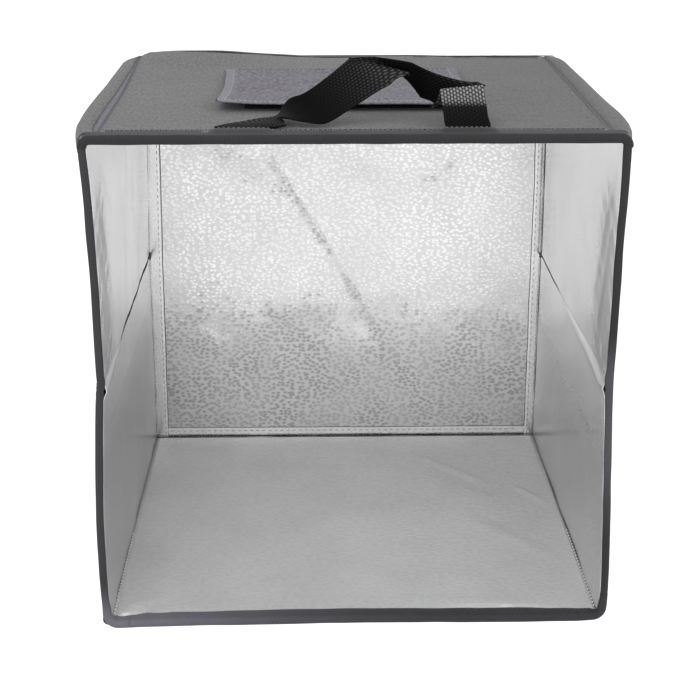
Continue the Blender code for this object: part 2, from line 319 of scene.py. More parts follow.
def silver_foil(name, pebble, depth, stretch=(1, 1, 1), fine=0.4, roughness=0.3, polish=0.0, bright=0.73, metal=0.95):
    """`polish` is how much smoother the flat top of a pebble is than the foil round it."""
    foil = Finish(name, Specular_IOR_Level=0.0)
    anywhere = foil.object_place()
    wobble = foil.noise(anywhere, pebble * 1.6, 1.0, 0.5, out=1)
    place = foil.node("ShaderNodeVectorMath", {"operation": "MULTIPLY_ADD"},
                      {0: wobble, 1: (pebble * 0.18 * mm,) * 3, 2: foil.cloth_place(stretch)})
    centre = foil.cells(place, pebble, jitter=0.88, space="2D")
    size = foil.noise(anywhere, pebble * 9, 2)
    big = size.between(0.35, 0.6)
    dome = 1 - centre.between(0.12, 0.62)
    crinkle = foil.noise(foil.cloth_place(stretch), pebble * 0.55, 3)
    stain = foil.noise(anywhere, 55, 3)
    tone = foil.mix(stain.between(0.3, 0.7), (bright * 0.95,) * 3, (bright * 1.03, bright * 1.03, bright * 1.035))
    tone = foil.mix(crinkle.between(0.36, 0.64) * (0.28 * fine), tone, (bright * 0.7,) * 3)
    dull_and_painted_shade = foil.painted("dull_and_painted_shade")
    shade, rougher = dull_and_painted_shade * 0.5, dull_and_painted_shade * 0.17
    if polish:
        # Where the mark is high, some pebbles are painted dark, for the dark room they mirror, and the others aren't.
        chance, clusters = centre.also("Color"), foil.noise(anywhere, pebble * 2.6, 2)
        asleep = (dull_and_painted_shade * 1.3 + (clusters * 0.6 - 0.3) + (chance * 1.2 - 0.6) - 0.12).between(0.38, 0.62)
        wide_top = (1 - centre.between(0.26, 0.5)) * (0.55 + 0.45 * big)
        flat = (1 - centre.between(0.2, 0.42)) * (0.5 + 0.5 * big)
        shade, rougher = dull_and_painted_shade * 0.38 + asleep * wide_top * 0.54, flat * (asleep - 1) * polish
    # Painted shade: the foil's colour is darkened where the mark is high.
    tone = foil.mix(shade, tone, (bright * 0.45,) * 3)
    # Dark lines: the mark "line" makes the foil black and not metal, for the shade in seams, slits and gaps and for raw
    # edges.
    line = foil.painted("line")
    tone = foil.mix(line, tone, (0.02, 0.02, 0.02))
    return foil.surface(Base_Color=tone, Metallic=metal - metal * line,
                        Roughness=roughness - 0.05 + 0.12 * crinkle + rougher,
                        Normal=foil.bump(dome * (0.4 + size) + crinkle * fine, depth))


# The four foils are one material; each is given a paler or darker colour, which paints the light that falls on its
# panel.
back_foil = silver_foil("back_foil", 2.9, 0.035, (0.74, 1.1, 1), 0.3, 0.36, polish=0.22, bright=0.785)
floor_foil = silver_foil("floor_foil", 3.4, 0.16, (0.5, 0.8, 1), 0.9, 0.46, bright=0.98, metal=0.7)
wall_foil = silver_foil("wall_foil", 2.2, 0.03, (0.7, 1, 1), 0.7, 0.2, bright=0.88)
hem_foil = silver_foil("hem_foil", 2.2, 0.02, (1, 1, 1), 0.6, 0.26, bright=0.76)

# %% [markdown]
# ## Flap, webbing, thread and the hidden materials
# The flap is coated cloth with a fine leather grain. The webbing's weave is large enough to be made
# in its mesh, so its material adds the yarns and a highlight painted on the floats. Hook and loop
# tape is a dull black fuzz, and the boards are grey card.

# %% Flap cloth, webbing, thread, fuzz and card


def grained_cloth(name, colour):
    skin = Finish(name, Roughness=0.6, Specular_IOR_Level=0.2)
    grain = skin.cells(skin.object_place((0.6, 1.5, 1)), 1.5).between(0.0, 0.6)
    creases = skin.noise(skin.object_place((1, 0.45, 1)), 2.4, 3, 0.65).between(0.3, 0.7)
    dark, pale, hem = times(colour, 0.4, 1.65, 1.55)
    tone = skin.mix(grain * 0.2 + creases * 0.8 - 0.08, dark, pale)
    tone = skin.mix(skin.painted("hem") * 0.7, tone, hem)
    # The mark "line" paints a dark line of shade along the foot of each hem's step.
    tone = skin.mix(skin.painted("line") * 0.85, tone, (0.02, 0.02, 0.022))
    return skin.surface(Base_Color=tone, Roughness=0.5 + 0.25 * creases,
                        Normal=skin.bump(grain * 0.4 + creases * 0.7, 0.3))


def yarn(name, colour, size=0.3, roughness=0.6, shine=0.5, painted_light_and_shade=0.0):
    """Twisted yarn: fine streaks along the piece, and a painted highlight where a float of the weave stands up."""
    made = Finish(name, Roughness=roughness, Sheen_Weight=0.1 * shine, Specular_IOR_Level=shine)
    streaks = made.noise(made.object_place(), size, 4, 0.7)
    tone = made.mix(streaks, *times(colour, 0.6, 1.5))
    tone = made.mix(made.painted("raised") * painted_light_and_shade, tone, (1, 1, 1))
    return made.surface(Base_Color=tone, Roughness=roughness - 0.1 + 0.25 * streaks,
                        Normal=made.bump(streaks, size * 0.15))


flap_skin = grained_cloth("flap_skin", (0.198, 0.190, 0.218))
webbing_yarn = yarn("webbing_yarn", (0.003, 0.003, 0.0035), 0.7, 0.55, shine=0.05, painted_light_and_shade=0.5)
dark_thread = yarn("dark_thread", (0.06, 0.058, 0.065))
grey_thread = yarn("grey_thread", (0.22, 0.21, 0.24))
pale_thread = yarn("pale_thread", (0.62, 0.62, 0.62))
white_thread = yarn("white_thread", (0.85, 0.85, 0.85))
fuzz = yarn("fuzz", (0.022, 0.022, 0.024), 0.5, 0.9)
card = yarn("card", (0.30, 0.28, 0.25), 1.5, 0.9)

# Each finish with its slot in the CAD and the usual thickness of a sheet of it
stuffs = {outer_cloth: ("outer_cloth", 0.6), seam_cloth: ("outer_cloth", 0.4), edge_tape: ("binding_tape", 0.6),
          back_foil: ("silver_liner", 0.5), floor_foil: ("silver_liner", 0.5), wall_foil: ("silver_liner", 0.5),
          hem_foil: ("silver_liner", 0.4), flap_skin: ("flap_cloth", 0.8), webbing_yarn: ("webbing", 0),
          fuzz: ("hook_and_loop", 0.6), card: ("panel_board", None)}

# %% [markdown]
# ## Sheets
# Almost every piece here is a sheet, so one helper makes them all. It takes a table of points, rows
# by columns, and a Solidify modifier gives the sheet its thickness behind the side that shows. Rows
# stand close together next to an edge, so that the smooth shading there stays narrow.

# %% Sheet helpers


def spaced(start, end, pitch, edge=0.5):
    """Places about a pitch apart from start to end, with one more close to each end."""
    count = max(2, round(abs(end - start) / pitch))
    places = np.linspace(start, end, count + 1)
    step = math.copysign(edge, end - start)
    return np.concatenate([[start, start + step], places[1:-1], [end - step, end]])


def lengths(line):
    """Distance along a line of points."""
    return np.concatenate([[0], np.cumsum(np.linalg.norm(np.diff(line, axis=0), axis=1))])


def table(x, y, z):
    """Three tables of coordinates as one table of points."""
    return np.stack(np.broadcast_arrays(x, y, z), axis=-1)


def sheet(name, points, material, facing, thick=None, marks=None, keep=None, wrap=False):
    """A sheet through a table of points. `facing` is a direction on the side that shows, and `marks`
    are numbers on the points, such as line, which is 1 where a dark line runs."""
    points = points * mm
    rows, columns = points.shape[:2]
    index = np.arange(rows * columns).reshape(rows, columns)
    if wrap:
        index = np.concatenate([index, index[:, :1]], axis=1)
    faces = np.stack([index[:-1, :-1], index[:-1, 1:], index[1:, 1:], index[1:, :-1]], axis=-1)
    middle = [points.reshape(-1, 3)[faces[rows // 2, (columns - 1) // 2, k]] for k in range(4)]
    normal = np.cross(middle[2] - middle[0], middle[3] - middle[1])
    turned = normal @ np.array(facing) < 0
    if turned:
        faces = faces[..., ::-1]
    faces = (faces[keep] if keep is not None else faces.reshape(-1, 4)).tolist()
    if wrap:
        first, last = index[0, :-1].tolist(), index[-1, :-1].tolist()
        faces += [first, last[::-1]] if turned else [first[::-1], last]
    mesh = bpy.data.meshes.new(name)
    mesh.from_pydata(points.reshape(-1, 3).tolist(), [], faces)
    along = np.repeat(lengths(points[:, columns // 2])[:, None], columns, axis=1)
    across = np.repeat(lengths(points[rows // 2])[None, :], rows, axis=0)
    corner = np.zeros(len(mesh.loops), dtype=np.int32)
    mesh.loops.foreach_get("vertex_index", corner)
    uv = np.stack([along.ravel(), across.ravel()], axis=-1)[corner]
    mesh.uv_layers.new(name="cloth").data.foreach_set("uv", uv.astype(np.float32).ravel())
    for mark, values in (marks or {}).items():
        layer = mesh.attributes.new(mark, "FLOAT", "POINT")
        layer.data.foreach_set("value", np.broadcast_to(values, (rows, columns)).astype(np.float32).ravel())
    mesh.materials.append(material)
    mesh.shade_smooth()
    piece = new_object(name, mesh)
    thick = stuffs[material][1] if thick is None else thick
    if thick:
        skin = piece.modifiers.new("thickness", "SOLIDIFY")
        skin.thickness, skin.offset = thick * mm, -1
    return piece


def lay(piece, body, *nodes, rests_on=(), held="stretched"):
    """Ride on a body. Where two bodies and two places are given instead, the piece stays where it is
    made and rides on neither. Hide the CAD nodes that the piece stands for. A piece that rests on
    others has its own UV map read, and nothing is done with it."""
    if isinstance(body, str):
        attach(piece, body)
    else:
        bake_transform(piece)
    if nodes:
        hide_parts(*nodes)
    mesh = piece.data
    if rests_on:
        uv = np.zeros(2 * len(mesh.loops), dtype=np.float32)
        mesh.uv_layers["cloth"].data.foreach_get("uv", uv)


def ripple(s, t, size, seed):
    """Smooth random waves between about -1 and 1."""
    random = np.random.default_rng(seed)
    total = 0
    for _ in range(8):
        turn, phase = random.uniform(0, 2 * math.pi, 2)
        wave = size * random.uniform(0.6, 1.8)
        total = total + np.sin((s * math.cos(turn) + t * math.sin(turn)) * 2 * math.pi / wave + phase)
    return total / 4


def ripples(s, t, *kinds):
    """Ripples of several sizes together: each kind is a size, a height and a seed."""
    return sum(ripple(s, t, size, seed) * rise for size, rise, seed in kinds)


def fade(value, start, end):
    """0 at start, 1 at end and smooth between them."""
    share = np.clip((value - start) / (end - start), 0, 1)
    return share * share * (3 - 2 * share)


def band(value, start, full, falling, end):
    """Rises from 0 to 1 and falls to 0 again."""
    return fade(value, start, full) * (1 - fade(value, falling, end))


def bell(value, centre, width):
    return np.exp(-((value - centre) / width) ** 2)


def fold(s, t, start, end, width, rise):
    """A ridge along a line on a sheet, or a valley where the rise is negative."""
    (s0, t0), (s1, t1) = start, end
    length = math.hypot(s1 - s0, t1 - t0)
    along = ((s - s0) * (s1 - s0) + (t - t0) * (t1 - t0)) / length ** 2
    aside = ((t - t0) * (s1 - s0) - (s - s0) * (t1 - t0)) / length
    return rise * bell(aside, 0, width) * band(along, -0.1, 0.25, 0.75, 1.1)


def photo_folds(s, t, rows, plane, value, gain=1.0):
    """Folds between two pixels of the photograph each, on a plane across y or z."""
    total = 0
    for *pixels, width, amount in rows:
        start, end = (photo_point(*pixel, plane, value) for pixel in pixels)
        total = total + fold(s, t, *((p.x, p.z if plane == "y" else p.y) for p in (start, end)), width, gain * amount)
    return total


# %% [markdown]
# ## Pinch of the side walls
# In the photograph both side walls draw in toward the front at mid height, where the crease is, bow
# out a little below it, and run straight at the rear. The amounts below were measured on the outline
# of the opening. Every layer of a wall takes the same pinch, so the layers stay in order.

# %% Pinch
front_heights = [3, 12, 20, 35, 52, 70, 91, 110, 128, 147, 155, 165, 190, 214, 234, 250, 265, 280, 296]
front_amounts = {
    -1: [0.8, 0.6, -0.3, -1.2, -1.5, -1.4, -0.65, 0.2, 1.1, 2.3, 3.3, 3.45, 3.2, 3.15, 2.6, 2.05, 1.8, 1.1, 0],
    1: [-0.3, -1.5, -1.9, -1.8, -1.3, -0.7, 0.2, 0.9, 1.6, 2.35, 2.6, 2.5, 2.0, 1.7, 1.7, 1.4, 0.75, 0.5, 0.5]}
rear_heights = [3, 60, 152, 200, 255, 275, 296]
rear_amounts = {-1: [1.2, 1.6, 1.4, 2.8, 4.0, 3.0, 0], 1: [1.2, 1.1, 0.9, 1.3, 1.9, 1.4, 0]}


def pinch(side, y, z):
    def smooth(heights, amounts, reach):
        return sum(np.interp(z + k * reach, heights, amounts[side]) for k in (-1, 0, 1)) / 3

    at_front, at_rear = smooth(front_heights, front_amounts, 2.5), smooth(rear_heights, rear_amounts, 10)
    share = np.clip((rear - y) / (rear - front), 0, 1)
    return at_front * share + at_rear * (1 - share) * fade(y, front, rear)


# The base's front edge stands out a little, most at its left end, and the walls' feet go with it.
ledge_x = [-144, -132, -120, -95, -64, -34, -3, 28, 78, 103, 140, 148]
ledge_out = [6.5, 5.6, 5.1, 4.1, 4.0, 3.2, 2.4, 2.5, 3.2, 3.3, 2.6, 1.6]
ledge_in = [4.6, 3.2, 2.8, 2.9, 1.5, 0.6, 0.3, 0.6, 1.0, 0.7, 2.6, 2.2]


def ledge(x, y, amounts=ledge_out):
    """How far forward the base's front edge stands, fading out behind it."""
    return np.interp(x, ledge_x, amounts) * (1 - fade(y, front + 6, front + 60))


def ledge_fade(z):
    """How much of the ledge a wall still has at a height."""
    return 1 - fade(z, 2, 48)


def wall(side, depth, y, z):
    """Points on a side wall at a depth from its outer face. `side` is -1 on the left, 1 on the right."""
    return table(side * (x_out - depth - pinch(side, y, z)), y - ledge(side * x_out, y) * ledge_fade(z), z)


def halves(over_floor, off_crease, under_roof):
    """A side wall's halves: name, lowest and highest place, and rear end."""
    return (("lower", floor + over_floor, crease - off_crease, lower_rear),
            ("upper", crease + off_crease, roof - under_roof, upper_rear))


SIDES = (("left", -1), ("right", 1))
# Between which bodies, and from where to where, a piece crosses the crease; the pieces don't bend there
CREASES = {-1: ("left_upper", "left_lower", crease + 0.1, crease - 0.1),
           1: ("right_lower", "right_upper", crease - 0.1, crease + 0.1)}
for word, side in SIDES:
    print(word, "wall draws in by", round(float(pinch(side, front, crease)), 2), "mm at the front of its crease")

# %% [markdown]
# ## Stitches
# Thread shows as short raised dashes. A Geometry Nodes tree turns every edge of a plain edge mesh
# into one stitch: it finds the edge's middle, direction and length, puts a thin spindle there, and
# makes the result real. The rows themselves are laid out in Python, so one tree serves straight
# rows, zigzags and back-tacks.

# %% Stitch tree


def stitch_tree():
    tree = bpy.data.node_groups.new("stitches", "GeometryNodeTree")
    for label, kind in (("Geometry", "Geometry"), ("Thread radius", "Float"), ("Thread", "Material")):
        tree.interface.new_socket(label, in_out="INPUT", socket_type="NodeSocket" + kind)
    tree.interface.new_socket("Geometry", in_out="OUTPUT", socket_type="NodeSocketGeometry")
    net = Net(tree)
    given = net.node("NodeGroupInput")
    ends = net.node("GeometryNodeInputMeshEdgeVertices")
    run = net.node("ShaderNodeVectorMath", {"operation": "SUBTRACT"},
                   {0: ends.also("Position 2"), 1: ends.also("Position 1")})
    kept = tree.nodes.new("GeometryNodeCaptureAttribute")
    kept.domain = "EDGE"
    kept.capture_items.new("VECTOR", "run")
    net.feed(kept.inputs["Geometry"], given)
    net.feed(kept.inputs["run"], run)
    edges, run = Value(net, kept.outputs["Geometry"]), Value(net, kept.outputs["run"])
    middles = net.node("GeometryNodeMeshToPoints", {"mode": "EDGES"}, {"Mesh": edges})
    turned = net.node("FunctionNodeAlignRotationToVector", {"axis": "Z"}, {"Vector": run})
    half = net.node("ShaderNodeVectorMath", {"operation": "LENGTH"}, {0: run}, out="Value") * 0.5
    radius = given.also("Thread radius")
    size = net.node("ShaderNodeCombineXYZ", {}, {"X": radius, "Y": radius, "Z": half})
    spindle = net.node("GeometryNodeMeshUVSphere", {}, {"Segments": 6, "Rings": 4, "Radius": 1.0})
    laid = net.node("GeometryNodeInstanceOnPoints", {},
                    {"Points": middles, "Instance": spindle, "Rotation": turned, "Scale": size})
    real = net.node("GeometryNodeRealizeInstances", {}, {"Geometry": laid})
    smooth = net.node("GeometryNodeSetShadeSmooth", {}, {"Geometry": real})
    painted = net.node("GeometryNodeSetMaterial", {}, {"Geometry": smooth, "Material": given.also("Thread")})
    net.node("NodeGroupOutput", {}, {0: painted})
    return tree


STITCHES = stitch_tree()


def sew(name, body, dashes, thread, radius):
    """Stitches on one body. `dashes` are pairs of end points."""
    ends = np.array(dashes, float).reshape(-1, 3) * mm
    mesh = bpy.data.meshes.new(name + "_row")
    mesh.from_pydata(ends.tolist(), [(2 * k, 2 * k + 1) for k in range(len(ends) // 2)], [])
    row = new_object(name + "_row", mesh)
    maker = row.modifiers.new("stitches", "NODES")
    maker.node_group = STITCHES
    sockets = {s.name: s.identifier for s in STITCHES.interface.items_tree if s.in_out == "INPUT"}
    maker[sockets["Thread radius"]] = radius * mm
    maker[sockets["Thread"]] = thread
    made = bpy.data.meshes.new_from_object(row.evaluated_get(bpy.context.evaluated_depsgraph_get()))
    made.name = name
    piece = new_object(name, made)
    bpy.data.objects.remove(row)
    print(name, len(ends) // 2, "stitches")
    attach(piece, body)


def running(line, pitch, share=0.62):
    """Dashes along a line of points, a pitch apart."""
    line = np.array(line, float)
    distance = lengths(line)
    starts = np.arange(pitch * 0.3, distance[-1] - pitch, pitch)
    return [[[np.interp(d, distance, line[:, k]) for k in range(3)] for d in (s, s + pitch * share)] for s in starts]


# %% [markdown]
# ## Boards
# The base's and the back's boards are flat, so their CAD solids stay and get the card finish. The
# four boards in the side walls follow the pinch, so they are made again. The top's board is made
# with the top, with its rear corners cut back under the rounded cloth.

# %% Boards
for node in ("base_board", "back_board"):
    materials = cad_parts[node].data.materials
    materials.clear()
    materials.append(card)

for word, side in SIDES:
    for half, start, end, back in halves(4.5, 2.5, 5):
        node = f"{word}_{half}_board"
        depth = x_out - (high(node, "x") if side > 0 else -low(node, "x"))
        thickness = high(node, "x") - low(node, "x")
        z, y = spaced(start, end, 12)[:, None], spaced(front + 1.5, back - 1.2, 24)[None, :]
        lay(sheet(node + "_card", wall(side, depth, y, z), card, (side, 0, 0), thickness), f"{word}_{half}", node)
print("board thickness", round(thickness, 2), "mm")

# %% [markdown]
# ## Liners of the side walls
# Each wall's liner is one sheet that creases at mid height. At the rear the crease is a slit, painted as a dark line of
# shade.
# Toward the front the lower edge of it rises into a bright fold, and the slit runs on above it, so a
# narrow three-cornered fold opens between them. One row of the mesh follows the slit, which keeps it
# thin. The sheet passes from the lower half to the upper one within two rows, and it stays where it
# is made when the cube is folded.

# %% Wall liners
liner_front = front + 2.4
slits = {-1: ((122, 334), (105.4, 375), 3.0), 1: ((556, 284), (605.9, 376.7), 1.6)}
wall_folds = ((12, 294, 62, 178, 0.9), (20, 284, 80, 196, -0.5), (8, 266, 46, 165, 0.8), (30, 290, 92, 224, 0.5))
for word, side in SIDES:
    *pixels, wide = slits[side]
    opening, end = (photo_point(*pixel, "x", side * (x_in - 2.4)) for pixel in pixels)
    y = spaced(liner_front, lower_rear, 2.6)[None, :]
    slit = crease + 0.7 + np.clip((opening.y - y) / (opening.y - front), 0, 1) * (end.z - crease)
    edge = crease + crease_gap
    rows = [np.full_like(y, z) for z in spaced(floor + 0.3, crease - crease_gap, 2.6)]
    rows += [edge + (slit - 0.5 - edge) * k for k in (0, 0.25, 0.6, 1)]
    rows += [slit + k for k in (-0.35, wide / 2, wide, wide + 0.4)]
    rows += [slit + wide + 0.4 + (roof - 0.7 - slit - wide) * k for k in spaced(0, 1, 0.018, 0.004)[1:]]
    z = np.concatenate(rows, axis=0)
    ends = back_face - np.where((z < crease) | (side < 0), 0, 0.5)
    y = liner_front + (y - y.min()) / (y.max() - y.min()) * (ends - 3.5 * bell(z, crease, 1.6) - liner_front)

    crumple = ripple(y, z, 46, 5 + side) * 0.35 + ripple(y, z * 0.5, 17, 8 + side) * 0.12
    for near_y, top_z, far_y, foot_z, rise in wall_folds:
        crumple = crumple + fold(y, z, (front + near_y, top_z), (front + far_y, foot_z), 4.5, rise)
    near = fade(-y, -opening.y - 10, -front - 12)
    inward = np.maximum(crumple * band(y, front + 3, front + 14, upper_rear - 14, upper_rear - 2), deepest_dip)
    inward = inward + 1.5 * near * bell(z, crease, 3.0) - 0.12 * bell(z, slit, 0.5)
    inward = inward - 0.15 * (1 - near) * bell(z, crease, 1.1)
    # Painted shade: the slit is painted as a dark line, and so is the wall's foot toward the rear, where it meets the
    # floor.
    dark = ((z > slit - 0.4) & (z < slit + wide + 0.1)) * (0.1 + 0.85 * fade(y, opening.y - 20, opening.y + 20))
    dark = dark * fade(z, crease - 0.1, crease)
    seam = bell(z, floor, 0.7) * fade(y, front + 60, back_face)
    # Painted shade, which also makes the foil rougher: a mottled band behind the front tape on the upper half, the
    # lower half below the crease, and on the right more of the upper half.
    painted_light_and_shade = bell(y, front + 24, 24) * band(z, crease, crease + 15, 235, 288) * (1.2 + 0.9 * ripple(y, z * 0.6, 9, 77))
    painted_light_and_shade = painted_light_and_shade + (0.8 if side < 0 else 0.46) * (1 - fade(z, crease - 62, crease - 6))
    painted_light_and_shade = painted_light_and_shade + (0 if side < 0 else 0.24) * band(z, crease, crease + 20, 225, 285)
    liner = sheet(word + "_wall_foil", wall(side, panel + inward, y, z), wall_foil, (-side, 0, 0),
                  marks={"line": np.clip(dark + seam * 0.8, 0, 1), "dull_and_painted_shade": np.clip(painted_light_and_shade, 0, 1)})
    lay(liner, CREASES[side], word + "_lower_liner", word + "_upper_liner",
        rests_on=(word + "_lower_board_card", word + "_upper_board_card"))
    print(liner.name, len(liner.data.vertices), "points; slit opens at y", round(opening.y), "mm")

# %% [markdown]
# ## Outer cloth of the side walls
# Outside, the cloth wraps round the floor and roof hinges. Its lower piece and the left upper piece,
# which cross a joint, stay where they are made and don't bend with it. A strip sewn along the crease
# closes the slit between them. The right upper half has no joint to the top, so its cloth rides on it
# alone.

# %% Wall covers
y_front = front + 5
strip_profile = np.array([(-2.4, 0.05), (-2.1, 0.3), (-1.4, 0.35), (-0.7, 0.2), (-0.1, -0.5)])
strip_profile = np.concatenate([strip_profile, strip_profile[::-1] * (-1, 1)])
for word, side in SIDES:
    for half, start, end, back in halves(-0.4, crease_gap, 0.1):
        z, y = spaced(start, end, 4)[:, None], spaced(y_front, back - 3, 4)[None, :]
        puff = ripples(y, z, (60, 0.35, 21 + side), (22, 0.12, 31 + side)) * band(z, start, start + 12, end - 12, end)
        cloth = sheet(f"{word}_{half}_cloth", wall(side, -np.maximum(puff, -0.2), y, z), outer_cloth, (side, 0, 0))
        body = ("base", word + "_lower", floor + 0.3, floor + 8) if half == "lower" else \
            ("left_upper", "top", roof - 8, roof - 0.4) if side < 0 else "right_upper"
        lay(cloth, body, f"{word}_{half}_cover", rests_on=(f"{word}_{half}_board_card",))
    z, proud = crease + strip_profile[:, :1], strip_profile[:, 1:]
    y = spaced(y_front, upper_rear - 3, 4)[None, :]
    # A dark line of painted shade runs along the crease in the middle of the strip.
    lay(sheet(word + "_crease_strip", wall(side, -proud, y, z), outer_cloth, (side, 0, 0), 0.4,
              marks={"line": np.where(np.abs(z - crease) < 0.2, 0.8, 0.0)}), CREASES[side])
    for half, z_row in (("lower", crease - 3.6), ("upper", crease + 3.6)):
        row = wall(side, -0.25, np.linspace(y_front, upper_rear - 8, 60), z_row)
        sew(f"{word}_{half}_crease_stitches", f"{word}_{half}", running(row, 3.2), dark_thread, 0.28)

# %% [markdown]
# ## Base: outer cloth and floor liner
# The base's cloth rounds its two long edges. The floor liner is the largest thing in view: it is
# loose, so it rises just behind the front tape, lies in long shallow waves, and has a few folds,
# each placed by two pixels of the photograph.

# %% Base cloth
edge_radius = 3.5
angles = np.linspace(0, math.pi / 2, 7)
straight = np.linspace(x_out - edge_radius, 0, 40)[1:]
half_x = np.concatenate([[x_out], x_out - edge_radius + edge_radius * np.cos(angles), straight])
half_z = np.concatenate([[floor - 0.1], edge_radius - edge_radius * np.sin(angles), 0 * straight])
x = np.concatenate([half_x, -half_x[-2::-1]])[:, None]
z = np.concatenate([half_z, half_z[-2::-1]])[:, None]
y = spaced(y_front, lower_rear - 3, 6)[None, :]
lay(sheet("base_cloth", table(x, y - ledge(x, y), z), outer_cloth, (0, 0, -1)),
    "base", "base_cover", rests_on=("base_board",))

# %% Floor liner
# Each fold: the pixel where it starts, the pixel where it ends, its width and its rise
floor_folds = [
    ((418, 457), (487, 484), 3, 1.1), ((430, 468), (500, 494), 5, -0.6), ((513, 486), (549, 505), 2.5, 0.9),
    ((160, 483), (230, 484), 2.2, -0.5), ((222, 482), (380, 488), 7, -0.6), ((200, 470), (420, 470), 9, 0.6),
    ((470, 520), (560, 560), 8, 0.6), ((410, 600), (560, 606), 5, 0.5), ((122, 606), (170, 596), 4, 0.9)]
x = spaced(-x_in - 0.3, x_in + 0.3, 2.4)[:, None]
y = np.concatenate([np.arange(liner_front, front + 24, 1.2), spaced(front + 24, lower_rear - 0.6, 2.4)])[None, :]
behind = y - (front + 8 - np.interp(x, ledge_x, ledge_in))
rise = ripples(x, y, (85, 0.4, 3), (24, 0.12, 4)) + photo_folds(x, y, floor_folds, "z", floor, 1.6)
rise = rise + 1.3 * bell(behind, 9, 7) * (0.6 + 0.4 * ripple(x, 0, 90, 6))
rise = rise + 1.3 * fade(-x, 98, 126) * bell(behind, 4, 5) * (0.8 + 0.5 * ripple(x, y, 14, 7))
rise = rise * fade(behind, 0, 3.5) * (1 - fade(np.abs(x), x_in - 7, x_in - 0.5))
rise = rise * (1 - fade(y, lower_rear - 12, lower_rear - 3))
wall_in = np.where(x < 0, pinch(-1, y, floor), pinch(1, y, floor))
# Painted shade along the gap where the floor meets each wall, a little darker toward the rear.
gap_line = bell(x_in - wall_in - np.abs(x), 0, 1.1) * (0.85 + 0.15 * fade(y, front + 60, back_face))
points = table(x, y - ledge(x, y, ledge_in), floor + np.maximum(rise, deepest_dip))
lay(sheet("floor_foil_sheet", points, floor_foil, (0, 0, 1), marks={"line": gap_line * 0.95}),
    "base", "base_liner", rests_on=("base_board",))
print("floor liner rises up to", round(float(rise.max()), 2), "mm")

for word, side in SIDES:
    row = wall(side, panel + 0.7, np.linspace(front + 8, front + 120, 60), floor + 0.4)
    sew(f"floor_{word}_stitches", "base", running(row, 4.2, 0.4), white_thread, 0.6)

# %% [markdown]
# ## Back panel
# Inside, the back shows its pebbled liner, with a long valley running down through the pebbles, and
# a plain hem with a raw edge and one row of stitches. Outside, the cloth is drawn over the board's
# edges.

# %% Back liner and hems
back_folds = [
    ((262, 146), (307, 221), 3.5, -0.9), ((296, 203), (352, 288), 3, -0.7), ((352, 285), (402, 388), 6, -0.7),
    ((268, 150), (315, 232), 12, 0.8), ((225, 150), (262, 205), 9, 0.5), ((420, 150), (470, 240), 14, -0.5),
    ((335, 150), (420, 290), 16, 0.6), ((180, 320), (300, 400), 16, -0.5)]
# Folds that show only as painted shade: darker where the amount is above 0, paler below 0
back_shades = [
    ((203, 142), (292, 200), 8, 0.42), ((264, 150), (335, 262), 3.2, 0.5), ((312, 222), (362, 305), 2.6, 0.36),
    ((340, 268), (412, 400), 4.5, 0.45), ((256, 298), (360, 386), 5, 0.45), ((418, 185), (462, 160), 4, 0.36),
    ((462, 318), (525, 335), 14, 0.3), ((285, 308), (330, 318), 8, 0.3), ((164, 330), (180, 372), 9, 0.3),
    ((196, 322), (232, 345), 9, -0.35), ((352, 325), (388, 346), 7, -0.4), ((430, 300), (486, 296), 9, -0.3)]
hem_edge, liner_foot, liner_head = high("back_liner", "x"), low("back_liner", "z"), high("back_liner", "z")
x = spaced(-hem_edge, hem_edge, 2.2)[:, None]
z = spaced(liner_foot, liner_head, 2.2)[None, :]
swell = ripples(x, z, (110, 0.5, 12), (34, 0.14, 13)) + photo_folds(x, z, back_folds, "y", back_face)
swell = swell * (1 - fade(np.abs(x), hem_edge - 14, hem_edge - 2)) * fade(z, liner_foot + 2, liner_foot + 14)
# Painted shade: the lower back is painted darker, for the dark room it reflects, and the folds above are painted on it.
shade = 1 - fade(z + ripple(x, z, 45, 14) * 7 + 0.05 * x, 56, 142) + photo_folds(x, z, back_shades, "y", back_face)
points = table(x, back_face - np.maximum(swell, deepest_dip), z)
lay(sheet("back_foil_sheet", points, back_foil, (0, -1, 0), marks={"dull_and_painted_shade": np.clip(shade, 0, 1)}),
    "back", "back_liner", rests_on=("back_board",))

# Across a hem: distance from its inner edge, and how far it stands off the liner
hem_out, hem_off = np.array([(0, 0.10), (0.25, -0.30), (0.9, -0.42), (3, -0.38), (6, -0.36), (6.9, -0.2),
                             (7.6, 0.15), (10.4, 0.2)]).T
raw_edge = {"line": np.where(np.arange(len(hem_out)) < 2, 0.85, 0.0)}
hem_in = hem_edge - 0.8
for name, at in (("left", -1), ("right", 1), ("bottom", -1), ("top", 1)):
    node = "back_hem_" + name
    standing = name in ("left", "right")
    start, end = (low(node, "z"), high(node, "z")) if standing else (-hem_edge - 2, hem_edge + 2)
    length = spaced(start, end, 3)[:, None]
    out = hem_out + ripple(length, 0, 60, 40 + at) * 0.25 * np.linspace(1, 0, len(hem_out))
    if standing:
        widen = np.interp(length, [0, 150, 250, 300], [3.6, 3.8, 5.0, 5.0]) if name == "left" else 0.8 + 0 * length
        points = table(at * (hem_in - widen + out * (1 + widen / hem_out[-1])), back_face + hem_off, length)
        row = [(at * (hem_in + 2.8 - float(np.interp(v, length.ravel(), widen.ravel()))), back_face - 0.42, v)
               for v in np.linspace(start + 4, end - 4, 50)]
    else:
        z_in = liner_foot + 0.8 if at < 0 else liner_head - 0.8
        points = table(length, back_face + hem_off + 0.06, z_in + at * out)
        row = [(v, back_face - 0.36, z_in + at * 3.0) for v in (start + 6, end - 6)]
    lay(sheet(node + "_foil", points, hem_foil, (0, -1, 0), marks=raw_edge), "back", node)
    sew(node + "_stitches", "back", running(row, 4.8, 0.6), grey_thread, 0.26)

